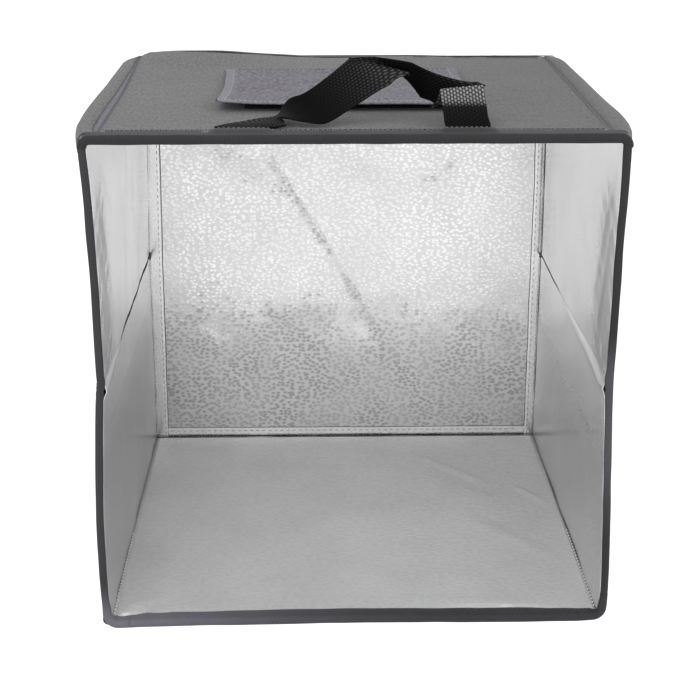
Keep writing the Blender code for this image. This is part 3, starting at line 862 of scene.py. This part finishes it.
# %% Back cover
middle_z = height / 2
s = spaced(-1, 1, 0.028, 0.004)
x, z = s[:, None] * x_out, middle_z + s[None, :] * middle_z
edge_distance = np.minimum(x_out - np.abs(x), middle_z - np.abs(z - middle_z))
drop = edge_radius - np.sqrt(np.maximum(edge_radius ** 2 - np.maximum(edge_radius - edge_distance, 0) ** 2, 0))
puff = ripples(x, z, (80, 0.35, 51), (26, 0.1, 52)) * fade(edge_distance, 4, 25)
corner = 7
past_x, past_z = (np.maximum(over, 0) for over in (np.abs(x) - (x_out - corner), z - (height - corner)))
shrink = np.maximum(past_x, past_z) / np.maximum(np.hypot(past_x, past_z), 1e-6)
shrink = np.where((past_x > 0) & (past_z > 0), shrink, 1)
round_x = np.sign(x) * (np.minimum(np.abs(x), x_out - corner) + past_x * shrink)
round_z = np.minimum(z, height - corner) + past_z * shrink
low_top = 0.9 * fade(round_x, 45, 90) * fade(round_z, height - 12, height)
points = table(round_x, rear - drop + puff - 0.9 * bell(edge_distance, 10, 0.9), round_z - low_top)
border = np.ones(points.shape[:2], bool)
border[1:-1, 1:-1] = False
points[..., 1][border] = back_face + 0.3
# Painted shade lies along a groove 10 mm in from the cloth's edge.
lay(sheet("back_cloth", points, outer_cloth, (0, 1, 0), marks={"line": 0.5 * bell(edge_distance, 10, 0.5)}),
    "back", "back_cover", rests_on=("back_board",))

# %% [markdown]
# ## Top: cloth, liner and seams
# The top's cloth is flat between two seams and swells into a soft rounded margin outside them. At
# the front corners the tape pulls that margin in and down. The left seam has gaped into a narrow
# leaf with a darker strip in it, and the right one is a single line. The cloth and the liner are
# left open where the window is.

# %% Top cloth
seam_x = 144.6
window_low, window_high = box("window_binding")
hole_low, hole_high = window_low + Vector((2, 2, 0)), window_high - Vector((2, 2, 0))
# Outward from the seam, up, and how much of the contour's correction each point takes
margin = np.array([
    (0.5, -0.75, 0.02), (1, -0.25, 0.05), (2, 0.3, 0.1), (4, 0.7, 0.2), (7, 0.8, 0.4), (10, 0.4, 0.62),
    (12.6, -0.7, 0.84), (14.4, -2.4, 0.96), (15.3, -4.6, 1), (15.4, -7, 1), (14.8, -9, 0.85), (13.3, -10.3, 0.5),
    (11.8, -10.8, 0.2)])
# The outline of the margin seen from above: y, and how far out on the left and on the right
contour = np.array([
    (-145, 154.5, 153.6), (-137, 155.9, 155.3), (-126, 158.2, 157.9), (-115, 159.8, 159.9), (-103, 161.2, 161.2),
    (-86, 161.8, 162), (-68, 162.3, 162.2), (-48, 162.5, 161.3), (-29, 162.3, 160.8), (-8, 162, 160.4),
    (13, 161.4, 160.2), (35, 161, 160), (58, 161, 159.5), (83, 160.7, 159), (108, 160.6, 158.6), (125, 160, 158.3),
    (145, 159.5, 157.6)]).T


def gape(y):
    """How far the left seam stands open."""
    return 4.2 * np.clip(1 - np.abs((y - front - 75) / 175) ** 1.6, 0.12, 1) * fade(y, front, front + 30) + 0.6


def seam_lean(y):
    """How far the left seam leans out toward the rear."""
    return 4.0 * fade(y, -30, top_rear)


def rear_lift(x, y):
    """The cloth stands up along the left part of the rear edge."""
    start = -seam_x - seam_lean(y)
    along = (0.7 * fade(x, start - 1, start + 8) + 0.3 * fade(x, start, start + 34)) * (1 - fade(x, -105, -10))
    return (4.5 * along - 0.8 * fade(x, 40, 90)) * fade(y, top_rear - 60, top_rear)


def around_window(edge_x, start_y, end_y, beside, within_x, within_y, pitch):
    """Places along x and y with some on the edges of the window's hole."""
    x = [np.linspace(-edge_x, hole_low.x, beside), np.linspace(hole_low.x, hole_high.x, within_x),
         np.linspace(hole_high.x, edge_x, beside)]
    y = [spaced(start_y, hole_low.y, pitch), np.linspace(hole_low.y, hole_high.y, within_y)[1:],
         spaced(hole_high.y, end_y, pitch)[1:]]
    return np.unique(np.concatenate(x).round(3))[:, None], np.concatenate(y)[None, :]


def outside_window(points):
    """Which faces of a table lie outside the window's hole. Where faces are centred on its edge, as
    the board's are, only those on the right count as inside."""
    middle = (points[:-1, :-1] + points[1:, 1:])[..., :2] / 2
    lowest, highest = np.array(hole_low)[:2] + 0.01, np.array(hole_high)[:2] + (0.01, -0.01)
    return ~np.all((middle > lowest) & (middle < highest), axis=-1)


inner_x, y = around_window(seam_x, front + 9, top_rear - 3, 30, 36, 26, 3)
leaf_steps = np.array([0.0, 0.03, 0.5, 0.97])[:, None]  # across the open leaf of the left seam
outward, upward, weight = (margin[:, k:k + 1] for k in range(3))
widest = outward.max()
share = outward / widest
sides = []
for reach, corner_round, drawn_in, on_left in ((contour[1], 22, 15.5, 1), (contour[2], 15, 13.5, 0)):
    into_corner = np.clip(y - (top_rear - 3 - corner_round), 0, corner_round)
    tail = (corner_round - np.sqrt(corner_round ** 2 - into_corner ** 2)) / corner_round
    out = on_left * (gape(y) + seam_lean(y))
    leaf_x = seam_x + seam_lean(y) + gape(y) * leaf_steps[:len(leaf_steps) * on_left]
    edge_x = seam_x + out + outward * (1 - out / widest)
    edge_x = edge_x + (np.interp(y, contour[0], reach) - seam_x - widest) * weight - drawn_in * tail * share
    sink = 0.8 * bell(y, front, 13) + 1.2 * tail + (1 - on_left) * 0.9 * fade(y, top_rear - 30, top_rear)
    edge_z = height + upward - sink * share
    sides.append((np.concatenate([leaf_x, edge_x]), np.concatenate([height - 0.9 + 0 * leaf_x, edge_z])))
middle_x = inner_x - seam_lean(y) * np.where(inner_x < 0, (inner_x / seam_x) ** 10, 0)
puff = ripples(inner_x, y, (90, 0.35, 61), (26, 0.1, 62)) * (1 - fade(np.abs(inner_x), seam_x - 14, seam_x - 1))
middle_z = height + puff + 0.5 * bell(seam_x - np.abs(inner_x), 2.5, 1.8) + rear_lift(middle_x, y)
(left_x, left_z), (right_x, right_z) = sides
x = np.concatenate([-left_x[::-1], middle_x, right_x])
z = np.concatenate([left_z[::-1], middle_z, right_z])
dark = np.zeros(x.shape)
# Painted shade along the left seam, the far edge of its leaf and the right seam
for row, tone in ((len(left_x), 1), (len(left_x) - len(leaf_steps), 0.9), (-len(right_x), 1)):
    dark[row - 1:row + 1] = tone
points = table(x, y, z)
# The cloth is also made darker toward the right.
lay(sheet("top_cloth", points, outer_cloth, (0, 0, 1), marks={"line": np.maximum(dark, 0.32 * fade(x, -20, 110))},
          keep=outside_window(points)), "top", "top_cover", rests_on=("top_board",))

board_x, board_z = high("top_board", "x") - 0.5, high("top_board", "z") - 0.2
x = np.unique(np.concatenate([np.linspace(-board_x, window_low.x + 1, 12), [window_low.x + 3, window_high.x - 3],
                              np.linspace(window_high.x - 1, board_x, 12)]).round(3))[:, None]
y = np.concatenate([np.linspace(front + 2, window_low.y + 1, 8), [window_low.y + 3, window_high.y - 3],
                    np.linspace(window_high.y - 1, top_rear - 3, 16)])[None, :]
points = table(x * (1 - 0.07 * fade(y, top_rear - 26, top_rear - 3)), y, board_z)
lay(sheet("top_board_card", points, card, (0, 0, 1), board_z - low("top_board", "z"), keep=outside_window(points)),
    "top", "top_board")

y = spaced(front + 8, top_rear - 4, 4)[None, :]
share = np.array([0.02, 0.3, 0.6, 0.98])[:, None]
points = table(-seam_x - seam_lean(y) - gape(y) * share, y, height - 0.55 + 0.25 * np.sin(share * math.pi))
lay(sheet("seam_leaf", points, seam_cloth, (0, 0, 1)), "top")
print("left seam gapes up to", round(float(gape(y).max()), 2), "mm")

# %% Ceiling liner
x, y = around_window(x_in - 0.2, liner_front, top_rear - 1, 22, 26, 20, 4)
points = table(x, y, roof - np.clip(ripple(x, y, 70, 71) * 0.4, -0.2, 0.6) * fade(y, front + 4, front + 12))
lay(sheet("ceiling_foil_sheet", points, wall_foil, (0, 0, -1), keep=outside_window(points)),
    "top", "top_liner", rests_on=("top_board",))

# %% [markdown]
# ## Bound edges
# Tape is folded over each panel's edge and sewn down. It is made by sweeping one outline, a rounded
# U, along the edge. The pieces on the front edge are cut where the panels part. The corner pieces at
# the bottom and the side pieces, which cross a joint, stay where they are made and don't bend with
# it. The top's tape laps over the ends of the side tapes, as it does in the photograph.

# %% Tape outline and sweep
inner_points = 4  # on the inner leg of a folded tape


def tape_outline(outer_leg, inner_leg, half, nose=2.0, proud=0.3):
    """Points round a folded tape: distance outward from the panel's middle, and back from its edge."""
    steps = np.linspace(outer_leg - 0.4, nose, max(2, int(outer_leg / 2.5)))
    outer = [(half - 0.12, outer_leg)] + [(half, b) for b in steps]
    arc = [(half * math.cos(a), nose * (1 - math.sin(a))) for a in np.linspace(0, math.pi, 11)[1:-1]]
    inner = [(-half, b) for b in np.linspace(nose, inner_leg - 0.3, inner_points - 1)]
    inner += [(-half + 0.12, inner_leg)]
    return np.array(outer + arc + inner) - (0, proud)


def swept(path, outward, inward, outline, seed=0, rounded_ends=0.0):
    """The outline placed at every point of a path."""
    path, outward, inward = (np.broadcast_to(np.array(v, float), np.shape(path)) for v in (path, outward, inward))
    distance = lengths(path)
    puff = 1 + 0.045 * ripple(distance, 0, 30, seed)
    if rounded_ends:
        share = np.clip(1 - np.minimum(distance, distance[-1] - distance) / rounded_ends, 0, 1)
        puff = puff * np.sqrt(np.maximum(1 - share ** 2, 0.02))
    return path[:, None] + outward[:, None] * (outline[:, :1] * puff[:, None, None]) + inward[:, None] * outline[:, 1:]


def bend(centre_x, centre_z, radius, stations, upward):
    """Points round a corner, each with its angle from the vertical: x, z and angle."""
    return [(centre_x + radius * math.sin(a), centre_z + upward * radius * math.cos(a), a)
            for a in np.linspace(0, math.pi / 2, stations)]


# %% Front tape of the base and its corners
half_panel = panel / 2
corner_start, corner_top = 138, 18
outline = tape_outline(13, 8, 2.75)


def painted_sheen(x, z=0.0):
    """Painted sheen: the bottom tape is paler toward its left end, and so is the foot of the left side tape."""
    share = np.interp(x, [-150, -118, -83, -33, 0, 60, 150], [0.85, 0.75, 0.52, 0.28, 0.16, 0.06, 0.06])
    return share * (1 - 0.9 * fade(z, 3, 30))


x = spaced(-corner_start, corner_start, 2, 1)
points = swept(table(x, front, half_panel), (0, 0, -1), (0, 1, 0), outline, 1)
within = np.arange(len(outline)) > len(outline) - inner_points
points[..., 1] -= np.where(within, np.interp(x, ledge_x, ledge_in)[:, None], np.interp(x, ledge_x, ledge_out)[:, None])
lay(sheet("base_front_tape", points, edge_tape, (0, -1, 0), marks={"painted_sheen": painted_sheen(x)[:, None]}),
    "base", "base_front_binding")

for word, side in SIDES:
    radius = 7.2 if side < 0 else 5.2
    centre_x, centre_z = x_out - half_panel - radius, half_panel + radius
    flat = [(x, half_panel, 0.0) for x in np.linspace(corner_start, centre_x, 6)[:-1]]
    rise = [(x_out - half_panel, z, math.pi / 2) for z in np.linspace(centre_z, corner_top, 6)[1:]]
    x, z, angle = np.array(flat + bend(centre_x, centre_z, radius, 9, -1) + rise).T
    turned = np.sin(angle)
    path = table(side * (x - pinch(side, front, z) * turned), front, z)
    points = swept(path, table(side * turned, 0, -np.cos(angle)), (0, 1, 0), outline, 2)
    thin = 1 - 0.16 * fade(z, 6, corner_top)
    points = path[:, None] + (points - path[:, None]) * np.stack([thin, 0 * thin + 1, thin], axis=-1)[:, None]
    inner_leg, turned = np.arange(len(outline)) >= len(outline) - inner_points, turned[:, None]
    back = points[..., 1] - front
    points[..., 1] = front + np.where(inner_leg, back * (1 - 0.6 * turned), back)
    ahead_in, ahead_out = (np.interp(path[:, :1], ledge_x, amounts) for amounts in (ledge_in, ledge_out))
    share = np.where(inner_leg, 1 - turned, 0)
    points[..., 1] -= (ahead_in * share + ahead_out * (1 - share)) * ledge_fade(path[:, 2:])
    marks = {"painted_sheen": painted_sheen(points[..., 0], points[..., 2])}
    lay(sheet(f"{word}_corner_tape", points, edge_tape, (0, -1, 0), marks=marks),
        ("base", word + "_lower", floor + 0.2, corner_top - 3))

# %% Front tape of the side walls
outline = tape_outline(8, 3.6, 2.36)
for word, side in SIDES:
    z = np.append(spaced(corner_top - 1.6, crease - crease_gap, 2.2), spaced(crease + crease_gap, roof - 1.0, 2.2))
    points = swept(wall(side, half_panel, front, z), (side, 0, 0), (0, 1, 0), outline, 3 + side)
    for sign, middle, width, amount in ((1, crease, 1.2, 0.55), (-1, crease + 5, 3.5, 0.5)):
        inner_face = points[..., 0] * side < x_out - half_panel - 1
        points[..., 0] += sign * side * amount * bell(z, middle, width)[:, None] * inner_face
    # The right front tape is also painted paler between about 50 and 190 mm up.
    paler_band = 0.3 * (side > 0) * band(points[..., 2], 50, 115, 158, 190)
    marks = {"painted_sheen": painted_sheen(points[..., 0], points[..., 2]) + paler_band}
    lay(sheet(f"{word}_front_tape", points, edge_tape, (0, -1, 0), marks=marks),
        CREASES[side], word + "_lower_front_binding", word + "_upper_front_binding")

# %% Front tape of the top, drawn down over both corners
strap_places, strap_rise = ((-78.5, -49), (50.5, 78)), 1.35


def over_strap(x, spread=3.5):
    """1 where the tape passes over an end of the handle, 0 elsewhere."""
    return sum(band(x, start - spread, start, end, end + spread) for start, end in strap_places)


outline = tape_outline(14, 4, 2.75)
top_radius = 4.4
centre_x, centre_z = x_out - half_panel - top_radius, height - half_panel - top_radius
right_end = np.array(bend(centre_x, centre_z, top_radius, 12, 1) +
                     [(x_out - half_panel, centre_z - drop, math.pi / 2) for drop in (0.8, 1.4)])
straight = np.array([(x, height - half_panel, 0) for x in np.linspace(-centre_x, centre_x, 150)[1:-1]])
x, z, angle = np.concatenate([right_end[::-1] * (-1, 1, -1), straight, right_end]).T
points = swept(table(x, front, z), table(np.sin(angle), 0, np.cos(angle)), (0, 1, 0), outline, 7, rounded_ends=1.2)
back = points[..., 1] - front
shorten = 1 - 0.5 * fade(np.abs(angle)[:, None], 0.2, 1.3)
points[..., 1] = front + np.where(back > 4, 4 + (back - 4) * shorten, back)
points[..., 2] += strap_rise * over_strap(points[..., 0]) * fade(back, 5, 9) * (points[..., 2] > height - half_panel)
lay(sheet("top_front_tape", points, edge_tape, (0, -1, 0)), "top", "top_front_binding")

# %% Rear tapes and the window's tape
x, top_x = spaced(-x_out + 0.6, x_out - 0.6, 4), spaced(-x_out + 9, x_out - 9, 4)
rear_edges = [("base", table(x, lower_rear, half_panel), (0, 0, -1), 2.6),
              ("top", table(top_x, top_rear, height - half_panel), (0, 0, 1), 6)]
for word, side in SIDES:
    for half, start, end, back in halves(0.4, 0.3, 0.4):
        leg = 1 if side < 0 else 2.4 if half == "lower" else 4.4
        path = wall(side, half_panel, back, spaced(start, end, 4))
        rear_edges.append((f"{word}_{half}", path, (side, 0, 0), leg))
for k, (name, path, outward, inner_leg) in enumerate(rear_edges):
    outline = tape_outline(8, max(inner_leg, 2.3), 2.7, proud=0.1)
    if inner_leg < 2:
        outline = outline[:-inner_points]
    points = swept(path, outward, (0, -1, 0), outline, 80 + k, rounded_ends=1)
    if name == "top":
        points[..., 2] += (rear_lift(points[..., 0], top_rear) - 0.15) * (points[..., 2] > height - half_panel)
    lay(sheet(name + "_rear_tape", points, edge_tape, (0, 1, 0)), name, name + "_rear_binding")

corner_radius = 6
middle, reach = (window_low + window_high) / 2, (window_high - window_low) / 2 - Vector((1, 1, 0)) * (1 + corner_radius)
angle = np.array([a + k * math.pi / 2 for k in range(4) for a in np.linspace(0, math.pi / 2, 8)] + [0])
sign_x, sign_y = (np.array([*np.repeat(signs, 8), 1]) for signs in ((1, -1, -1, 1), (1, 1, -1, -1)))
path = table(middle.x + sign_x * reach.x + corner_radius * np.cos(angle),
             middle.y + sign_y * reach.y + corner_radius * np.sin(angle), height - half_panel)
away = table(np.cos(angle), np.sin(angle), 0)
points = swept(path, (0, 0, 1), away, tape_outline(6, 6, 2.7, proud=0.0))
lay(sheet("window_tape", points, edge_tape, tuple(-away[len(away) // 2]), 0.5), "top", "window_binding")

# %% Stitches on the tapes and the top
seam_end = seam_x - 2
x = np.linspace(-seam_end, seam_end, 160)
row = table(x, front + 13, height + 0.42 + strap_rise * over_strap(x))
sew("top_tape_stitches", "top", running(row, 2.8), grey_thread, 0.32)
# Black dashes along the tape's edge are a painted shadow line, not thread.
row = [(at, front + 14.7, height + 0.30) for at in (-seam_end, seam_end)]
sew("top_edge_painted_shadow", "top", running(row, 1.6, 0.8), webbing_yarn, 0.3)
row = [(seam_x - 2.2, at, height + 0.55) for at in (front + 16, top_rear - 10)]
sew("top_right_seam_stitches", "top", running(row, 3.0), dark_thread, 0.2)
reach = top_radius + 3.0
zigzag = [[(side * (centre_x + reach * math.sin(a)), front + back, centre_z + reach * math.cos(a))
           for a, back in ((0.1 + 0.125 * k, 4.5), (0.1 + 0.125 * (k + 0.5), 6.6))]
          for side in (-1, 1) for k in range(11)]
sew("corner_zigzags", "top", zigzag, grey_thread, 0.24)
tack_x = photo_point(545, 611, "y", front).x
corners = [(tack_x + a, front - 0.34, half_panel + b)
           for a, b in ((-2.2, 1.3), (-1.1, -1.2), (0, 1.0), (1.1, -1.2), (2.2, 1.3))]
sew("base_back_tack", "base", list(zip(corners, corners[1:])), grey_thread, 0.16)

# %% [markdown]
# ## Flap over the window
# The flap is a sheet of grained cloth, hemmed at its sides and its front and sewn down along its
# rear. It rests on the hook and loop tapes, so its front stands a few millimetres high, and its
# corners have curled. It is one sheet, which stays where it is made and doesn't lift with the flap.

# %% Flap
hinge_y = high("flap_cover", "y")
flap_low, flap_high = box("flap_cover")
left, flap_right, flap_front = flap_low.x, flap_high.x, flap_low.y - 4
tilt = math.tan(math.radians(1.3))


def hem_distance(x, y):
    return np.minimum(np.minimum(x - left, flap_right - x), y - flap_front)


def flap_height(x, y):
    """The flap's upper face, with its tilt, its hems and its curled corners."""
    ahead, hem = np.maximum(hinge_y - y, 0), hem_distance(x, y)
    z = height + 1.5 + ahead * tilt + 0.5 * (1 - fade(hem, 6.4, 7.4)) + ripple(x, y, 55, 91) * 0.4 * fade(ahead, 0, 20)
    left_corner = bell(x, left, 17) * bell(y, flap_front, 20)
    right_rear = bell(x, flap_right, 10) * bell(y, hinge_y, 13)
    return z - 0.35 * (1 - fade(hem, 0, 1.2)) + 1.2 * left_corner + 2.0 * right_rear * fade(ahead, 1, 8) + \
        0.4 * fade(flap_front + 25 - y, 0, 25)


def flap_edge(y):
    """How far the flap's left edge draws in."""
    return np.interp(y, [-80, -70, -58, -40, 0, 50, 70], [3.0, 1.6, 1.9, 2.8, 3.4, 1.4, 0.2])


across = spaced(left, flap_right, 2.2)[:, None]
along = np.concatenate([[hinge_y + 4, hinge_y + 3.6], spaced(hinge_y + 1, flap_front, 2.2)])[None, :]
rounding = 5
corner_in = np.maximum(np.abs(across - (left + flap_right) / 2) - (flap_right - left) / 2 + rounding, 0)
x = across + flap_edge(along) * (1 - fade(across, left, left + 40))
y = along + (rounding - np.sqrt(np.maximum(rounding ** 2 - corner_in ** 2, 0))) * (along < flap_front + 6)
hem = hem_distance(across, along)
flap_hem = (1 - fade(hem, 6.4, 7.0)) * (across < left + 12) + 0.35 * (hem < 6.6)
# A line of painted shade runs along the foot of each hem's step.
flap_cloth = sheet("flap_cloth", table(x, y, flap_height(across, along)), flap_skin, (0, 0, 1),
                   marks={"line": 0.6 * bell(hem, 7.2, 0.45), "hem": np.clip(flap_hem, 0, 1)})

x = spaced(left + 8, flap_right - 8, 4)[:, None]
y = spaced(hinge_y - 8, flap_front + 7, 4)[None, :]
lay(sheet("flap_lining_foil", table(x, y, flap_height(x, y) - 0.95), wall_foil, (0, 0, -1)),
    "flap", "flap_lining", rests_on=("flap_cloth",))


def on_flap(x, y, drawn=0):
    """A row of stitches on the flap, drawn in from its places by some amount."""
    return running(table(x + drawn, y, flap_height(x, y) + 0.06), 3.0)


edge_in = 5.6
y = np.linspace(hinge_y - 3, flap_front + edge_in, 50)
hem_rows = on_flap(left + edge_in, y, 0.86 * flap_edge(y)) + on_flap(flap_right - edge_in, y) + \
    on_flap(np.linspace(left + edge_in, flap_right - edge_in, 60), flap_front + edge_in)
sew("flap_stitches", "flap", hem_rows, pale_thread, 0.2)
seam_row = on_flap(np.linspace(left + 2, flap_right - 2, 60), hinge_y + 2.2)
sew("flap_seam_stitches", "top", seam_row, dark_thread, 0.2)

lay(flap_cloth, ("top", "flap", (0, hinge_y + 1.5, height), (0, hinge_y - 3, height)), "flap_cover",
    rests_on=("flap_hook_tape_pile", "top_cloth"), held="laid")

# %% [markdown]
# ## Hook and loop tapes
# Four pairs of tapes close the flap and hold the back panel. Each is a woven strip with a pile on
# one face, which a fine ripple of the mesh and a dull black finish stand for.

# %% Hook and loop tapes
piles = {"flap_loop_tape": ("top", 2, 1), "flap_hook_tape": ("flap", 2, -1), "top_hook_tape": ("top", 1, 1),
         "left_hook_tape": ("left_upper", 1, 1), "right_hook_tape": ("right_upper", 1, 1),
         "back_loop_left": ("back", 1, -1), "back_loop_right": ("back", 1, -1), "back_loop_top": ("back", 1, -1)}
for node, (body, axis, sign) in piles.items():
    lowest, highest = (np.array(corner) for corner in box(node))
    long, short = sorted((k for k in range(3) if k != axis), key=lambda k: lowest[k] - highest[k])
    first, second = (spaced(lowest[k], highest[k], pitch, 0.2) for k, pitch in ((long, 1.2), (short, 0.8)))
    points = np.zeros((len(first), len(second), 3))
    points[..., long], points[..., short] = first[:, None], second
    pile = 0.22 * ripple(points[..., long], points[..., short], 2.2, 95)
    points[..., axis] = (highest if sign > 0 else lowest)[axis] + sign * (pile - 0.25)
    if node == "flap_hook_tape":
        points[..., 2] = flap_height(points[..., 0], points[..., 1]) - 2.0 - pile
    lay(sheet(node + "_pile", points, fuzz, np.eye(3)[axis] * sign), body, node)

# %% [markdown]
# ## Webbing handle
# The handle is one length of webbing, sewn under the top's tape at both ends. It lies back, turns
# over near its left end, folds at its highest point and rolls over on the right. It follows the
# handle in the part's source, with sharper folds. Each station is a middle, a direction across and
# how much the weave gleams there. Where the direction across is slanted, the webbing is drawn wider
# along it, so its true width stays the same. The weave is in the mesh: columns of short raised
# floats, each column half a float behind the next. The whole webbing stays where it is made and
# doesn't turn with the handle.

# %% Webbing
webbing_width, webbing_thickness = 25, 1.4
half_span, reach, rise = 64, 28, 32
# Middle, as shares of the span, the reach and the rise; direction across; gleam
stations = np.array([
    (-1.00, -0.24, -0.018, 1.00, 0.00, 0.00, 0.03), (-1.00, 0.00, 0.00, 1.00, 0.00, 0.00, 0.03),
    (-0.95, 0.14, 0.01, 1.00, -0.08, 0.00, 0.10), (-0.85, 0.28, 0.03, 0.95, -0.30, 0.03, 0.14),
    (-0.76, 0.45, 0.06, 0.70, -0.70, 0.08, 0.10), (-0.68, 0.60, 0.10, 0.15, -0.97, 0.17, 0.03),
    (-0.54, 0.62, 0.17, 0.42, -0.88, -0.20, 0.00), (-0.35, 0.54, 0.27, 0.60, -0.68, -0.42, 0.00),
    (-0.14, 0.46, 0.55, 0.62, -0.58, -0.53, 0.03), (0.05, 0.43, 0.83, 0.70, -0.42, -0.57, 0.09),
    (0.14, 0.45, 0.94, 0.82, -0.25, -0.50, 0.16), (0.22, 0.50, 1.02, 0.96, 0.05, -0.26, 0.30),
    (0.365, 0.71, 0.92, 0.55, 0.66, -0.50, 0.02), (0.60, 0.93, 0.66, 0.12, 0.68, -0.72, 0.02),
    (0.79, 0.96, 0.51, -0.32, 0.66, -0.68, 0.10), (0.92, 0.85, 0.42, -0.84, 0.30, -0.45, 0.35),
    (0.945, 0.62, 0.56, -0.97, 0.05, -0.20, 0.80), (0.95, 0.46, 0.62, -1.00, 0.00, -0.07, 1.00),
    (0.96, 0.32, 0.43, -1.00, 0.00, 0.00, 0.90), (0.97, 0.24, 0.33, -1.00, 0.00, 0.00, 0.04),
    (0.98, 0.10, 0.16, -1.00, 0.00, 0.00, 0.02), (1.00, 0.00, 0.00, -1.00, 0.00, 0.00, 0.02),
    (1.00, -0.24, -0.018, -1.00, 0.00, 0.00, 0.02)])
seam_y, seam_z = front + 15, height + 1.0
FINE = 40


def smooth_curve(values):
    """A smooth curve through stations, many steps between each two."""
    padded = np.concatenate([values[:1], values, values[-1:]])
    t = (np.arange(FINE) / FINE)[:, None]
    runs = [(2 * b + (c - a) * t + (2 * a - 5 * b + 4 * c - d) * t ** 2 + (3 * b - a - 3 * c + d) * t ** 3) / 2
            for a, b, c, d in zip(padded, padded[1:], padded[2:], padded[3:])]
    return np.concatenate(runs + [values[-1:]])


def unit(vectors):
    return vectors / np.linalg.norm(vectors, axis=1)[:, None]


middle_line, across_line = smooth_curve(stations[:, :3] * (half_span, reach, rise)), smooth_curve(stations[:, 3:6])
distance = lengths(middle_line)
steps = np.arange(0, distance[-1], 0.55)
middle, cross = (np.stack([np.interp(steps, distance, line[:, k]) for k in range(3)], axis=-1)
                 for line in (middle_line, across_line))
cross = unit(cross)
out = np.cross(unit(np.gradient(middle, axis=0)), cross)
slant = np.clip(np.linalg.norm(out, axis=1), 0.72, 1)
out = unit(out)

columns, float_length = 14, 2.3
s = np.linspace(-0.5, 0.5, 5 * columns + 1)
column = np.floor((s + 0.5) * columns - 1e-6)
groove = np.abs(np.sin((s + 0.5) * columns * math.pi)) ** 0.6
weave = groove * np.abs(np.sin(steps[:, None] / float_length * math.pi + (column % 2) * math.pi / 2)) ** 0.7
edge_thin = np.sqrt(np.maximum(1 - (np.abs(s) * 2) ** 14, 0.05))
half_thickness = (webbing_thickness / 2 - 0.1 + 0.26 * weave) * edge_thin
centre = middle[:, None] + cross[:, None] * (s * webbing_width / slant[:, None])[..., None]
raise_by = out[:, None] * half_thickness[..., None]
points = np.concatenate([centre + raise_by, (centre - raise_by)[:, ::-1]], axis=1) + (0, seam_y, seam_z)
# The raised floats get a painted highlight, as strong as each station's gleam.
gleam = np.interp(steps, distance[::FINE], stations[:, 6])
webbing = sheet("handle_webbing_weave", points, webbing_yarn, out[len(out) // 2], wrap=True,
                marks={"raised": np.concatenate([weave] * 2, axis=1) ** 2 * gleam[:, None]})
lay(webbing, ("top", "handle", (0, seam_y - 2, seam_z), (0, seam_y + 2, seam_z)), "handle_webbing")
print("webbing length", round(distance[-1]), "mm,", len(webbing.data.vertices), "points")

# %% [markdown]
# ## Floor and light
# The cube stands on a plain white floor under soft light. Is Camera Ray lifts the floor and the room
# to white for the camera, and for reflections, without adding light to the object, and the floor
# keeps a little of the object's shadow. Lights and the floor are placed in metres.

# %% Stage
ground_mesh = bpy.data.meshes.new("ground")
ground_mesh.from_pydata([(-4, -4, 0), (4, -4, 0), (4, 4, 0), (-4, 4, 0)], [], [(0, 1, 2, 3)])
ground = new_object("ground", ground_mesh)
paper = Finish("paper", Roughness=0.9, Base_Color=(0.86, 0.86, 0.86))
glow = paper.node("ShaderNodeEmission", {}, {"Color": (1, 1, 1), "Strength": 1.5})
rays = paper.node("ShaderNodeLightPath")
seen = rays.also("Is Camera Ray").math("MAXIMUM", rays.also("Is Glossy Ray"))
mixed = paper.node("ShaderNodeMixShader", {}, {0: seen * 0.72, 1: Value(paper, paper.shader.outputs[0]), 2: glow})
paper.feed(paper.nodes["Material Output"].inputs["Surface"], mixed)
ground_mesh.materials.append(paper.material)

world = bpy.data.worlds.new("studio")
bpy.context.scene.world = world
world.use_nodes = True
room = Net(world.node_tree)
rays = room.node("ShaderNodeLightPath")
seen = rays.also("Is Camera Ray").math("MAXIMUM", rays.also("Is Transmission Ray"))
background = room.nodes["Background"].inputs
room.feed(background["Strength"], seen * 0.5 + 0.55 + rays.also("Is Glossy Ray") * 0.33)
room.feed(background["Color"], (1, 1, 1))


def soft_light(name, place, target, size, power):
    lamp = bpy.data.lights.new(name, "AREA")
    lamp.size, lamp.energy = size, power
    made = new_object(name, lamp)
    made.location = place
    made.rotation_euler = (Vector(target) - Vector(place)).to_track_quat("-Z", "Y").to_euler()
    print(name, power, "W")


soft_light("key", (-0.5, -1.1, 1.5), (0, 0, 0.2), 1.0, 9)
soft_light("fill", (0.9, -1.2, 1.0), (0, 0, 0.15), 1.2, 4)
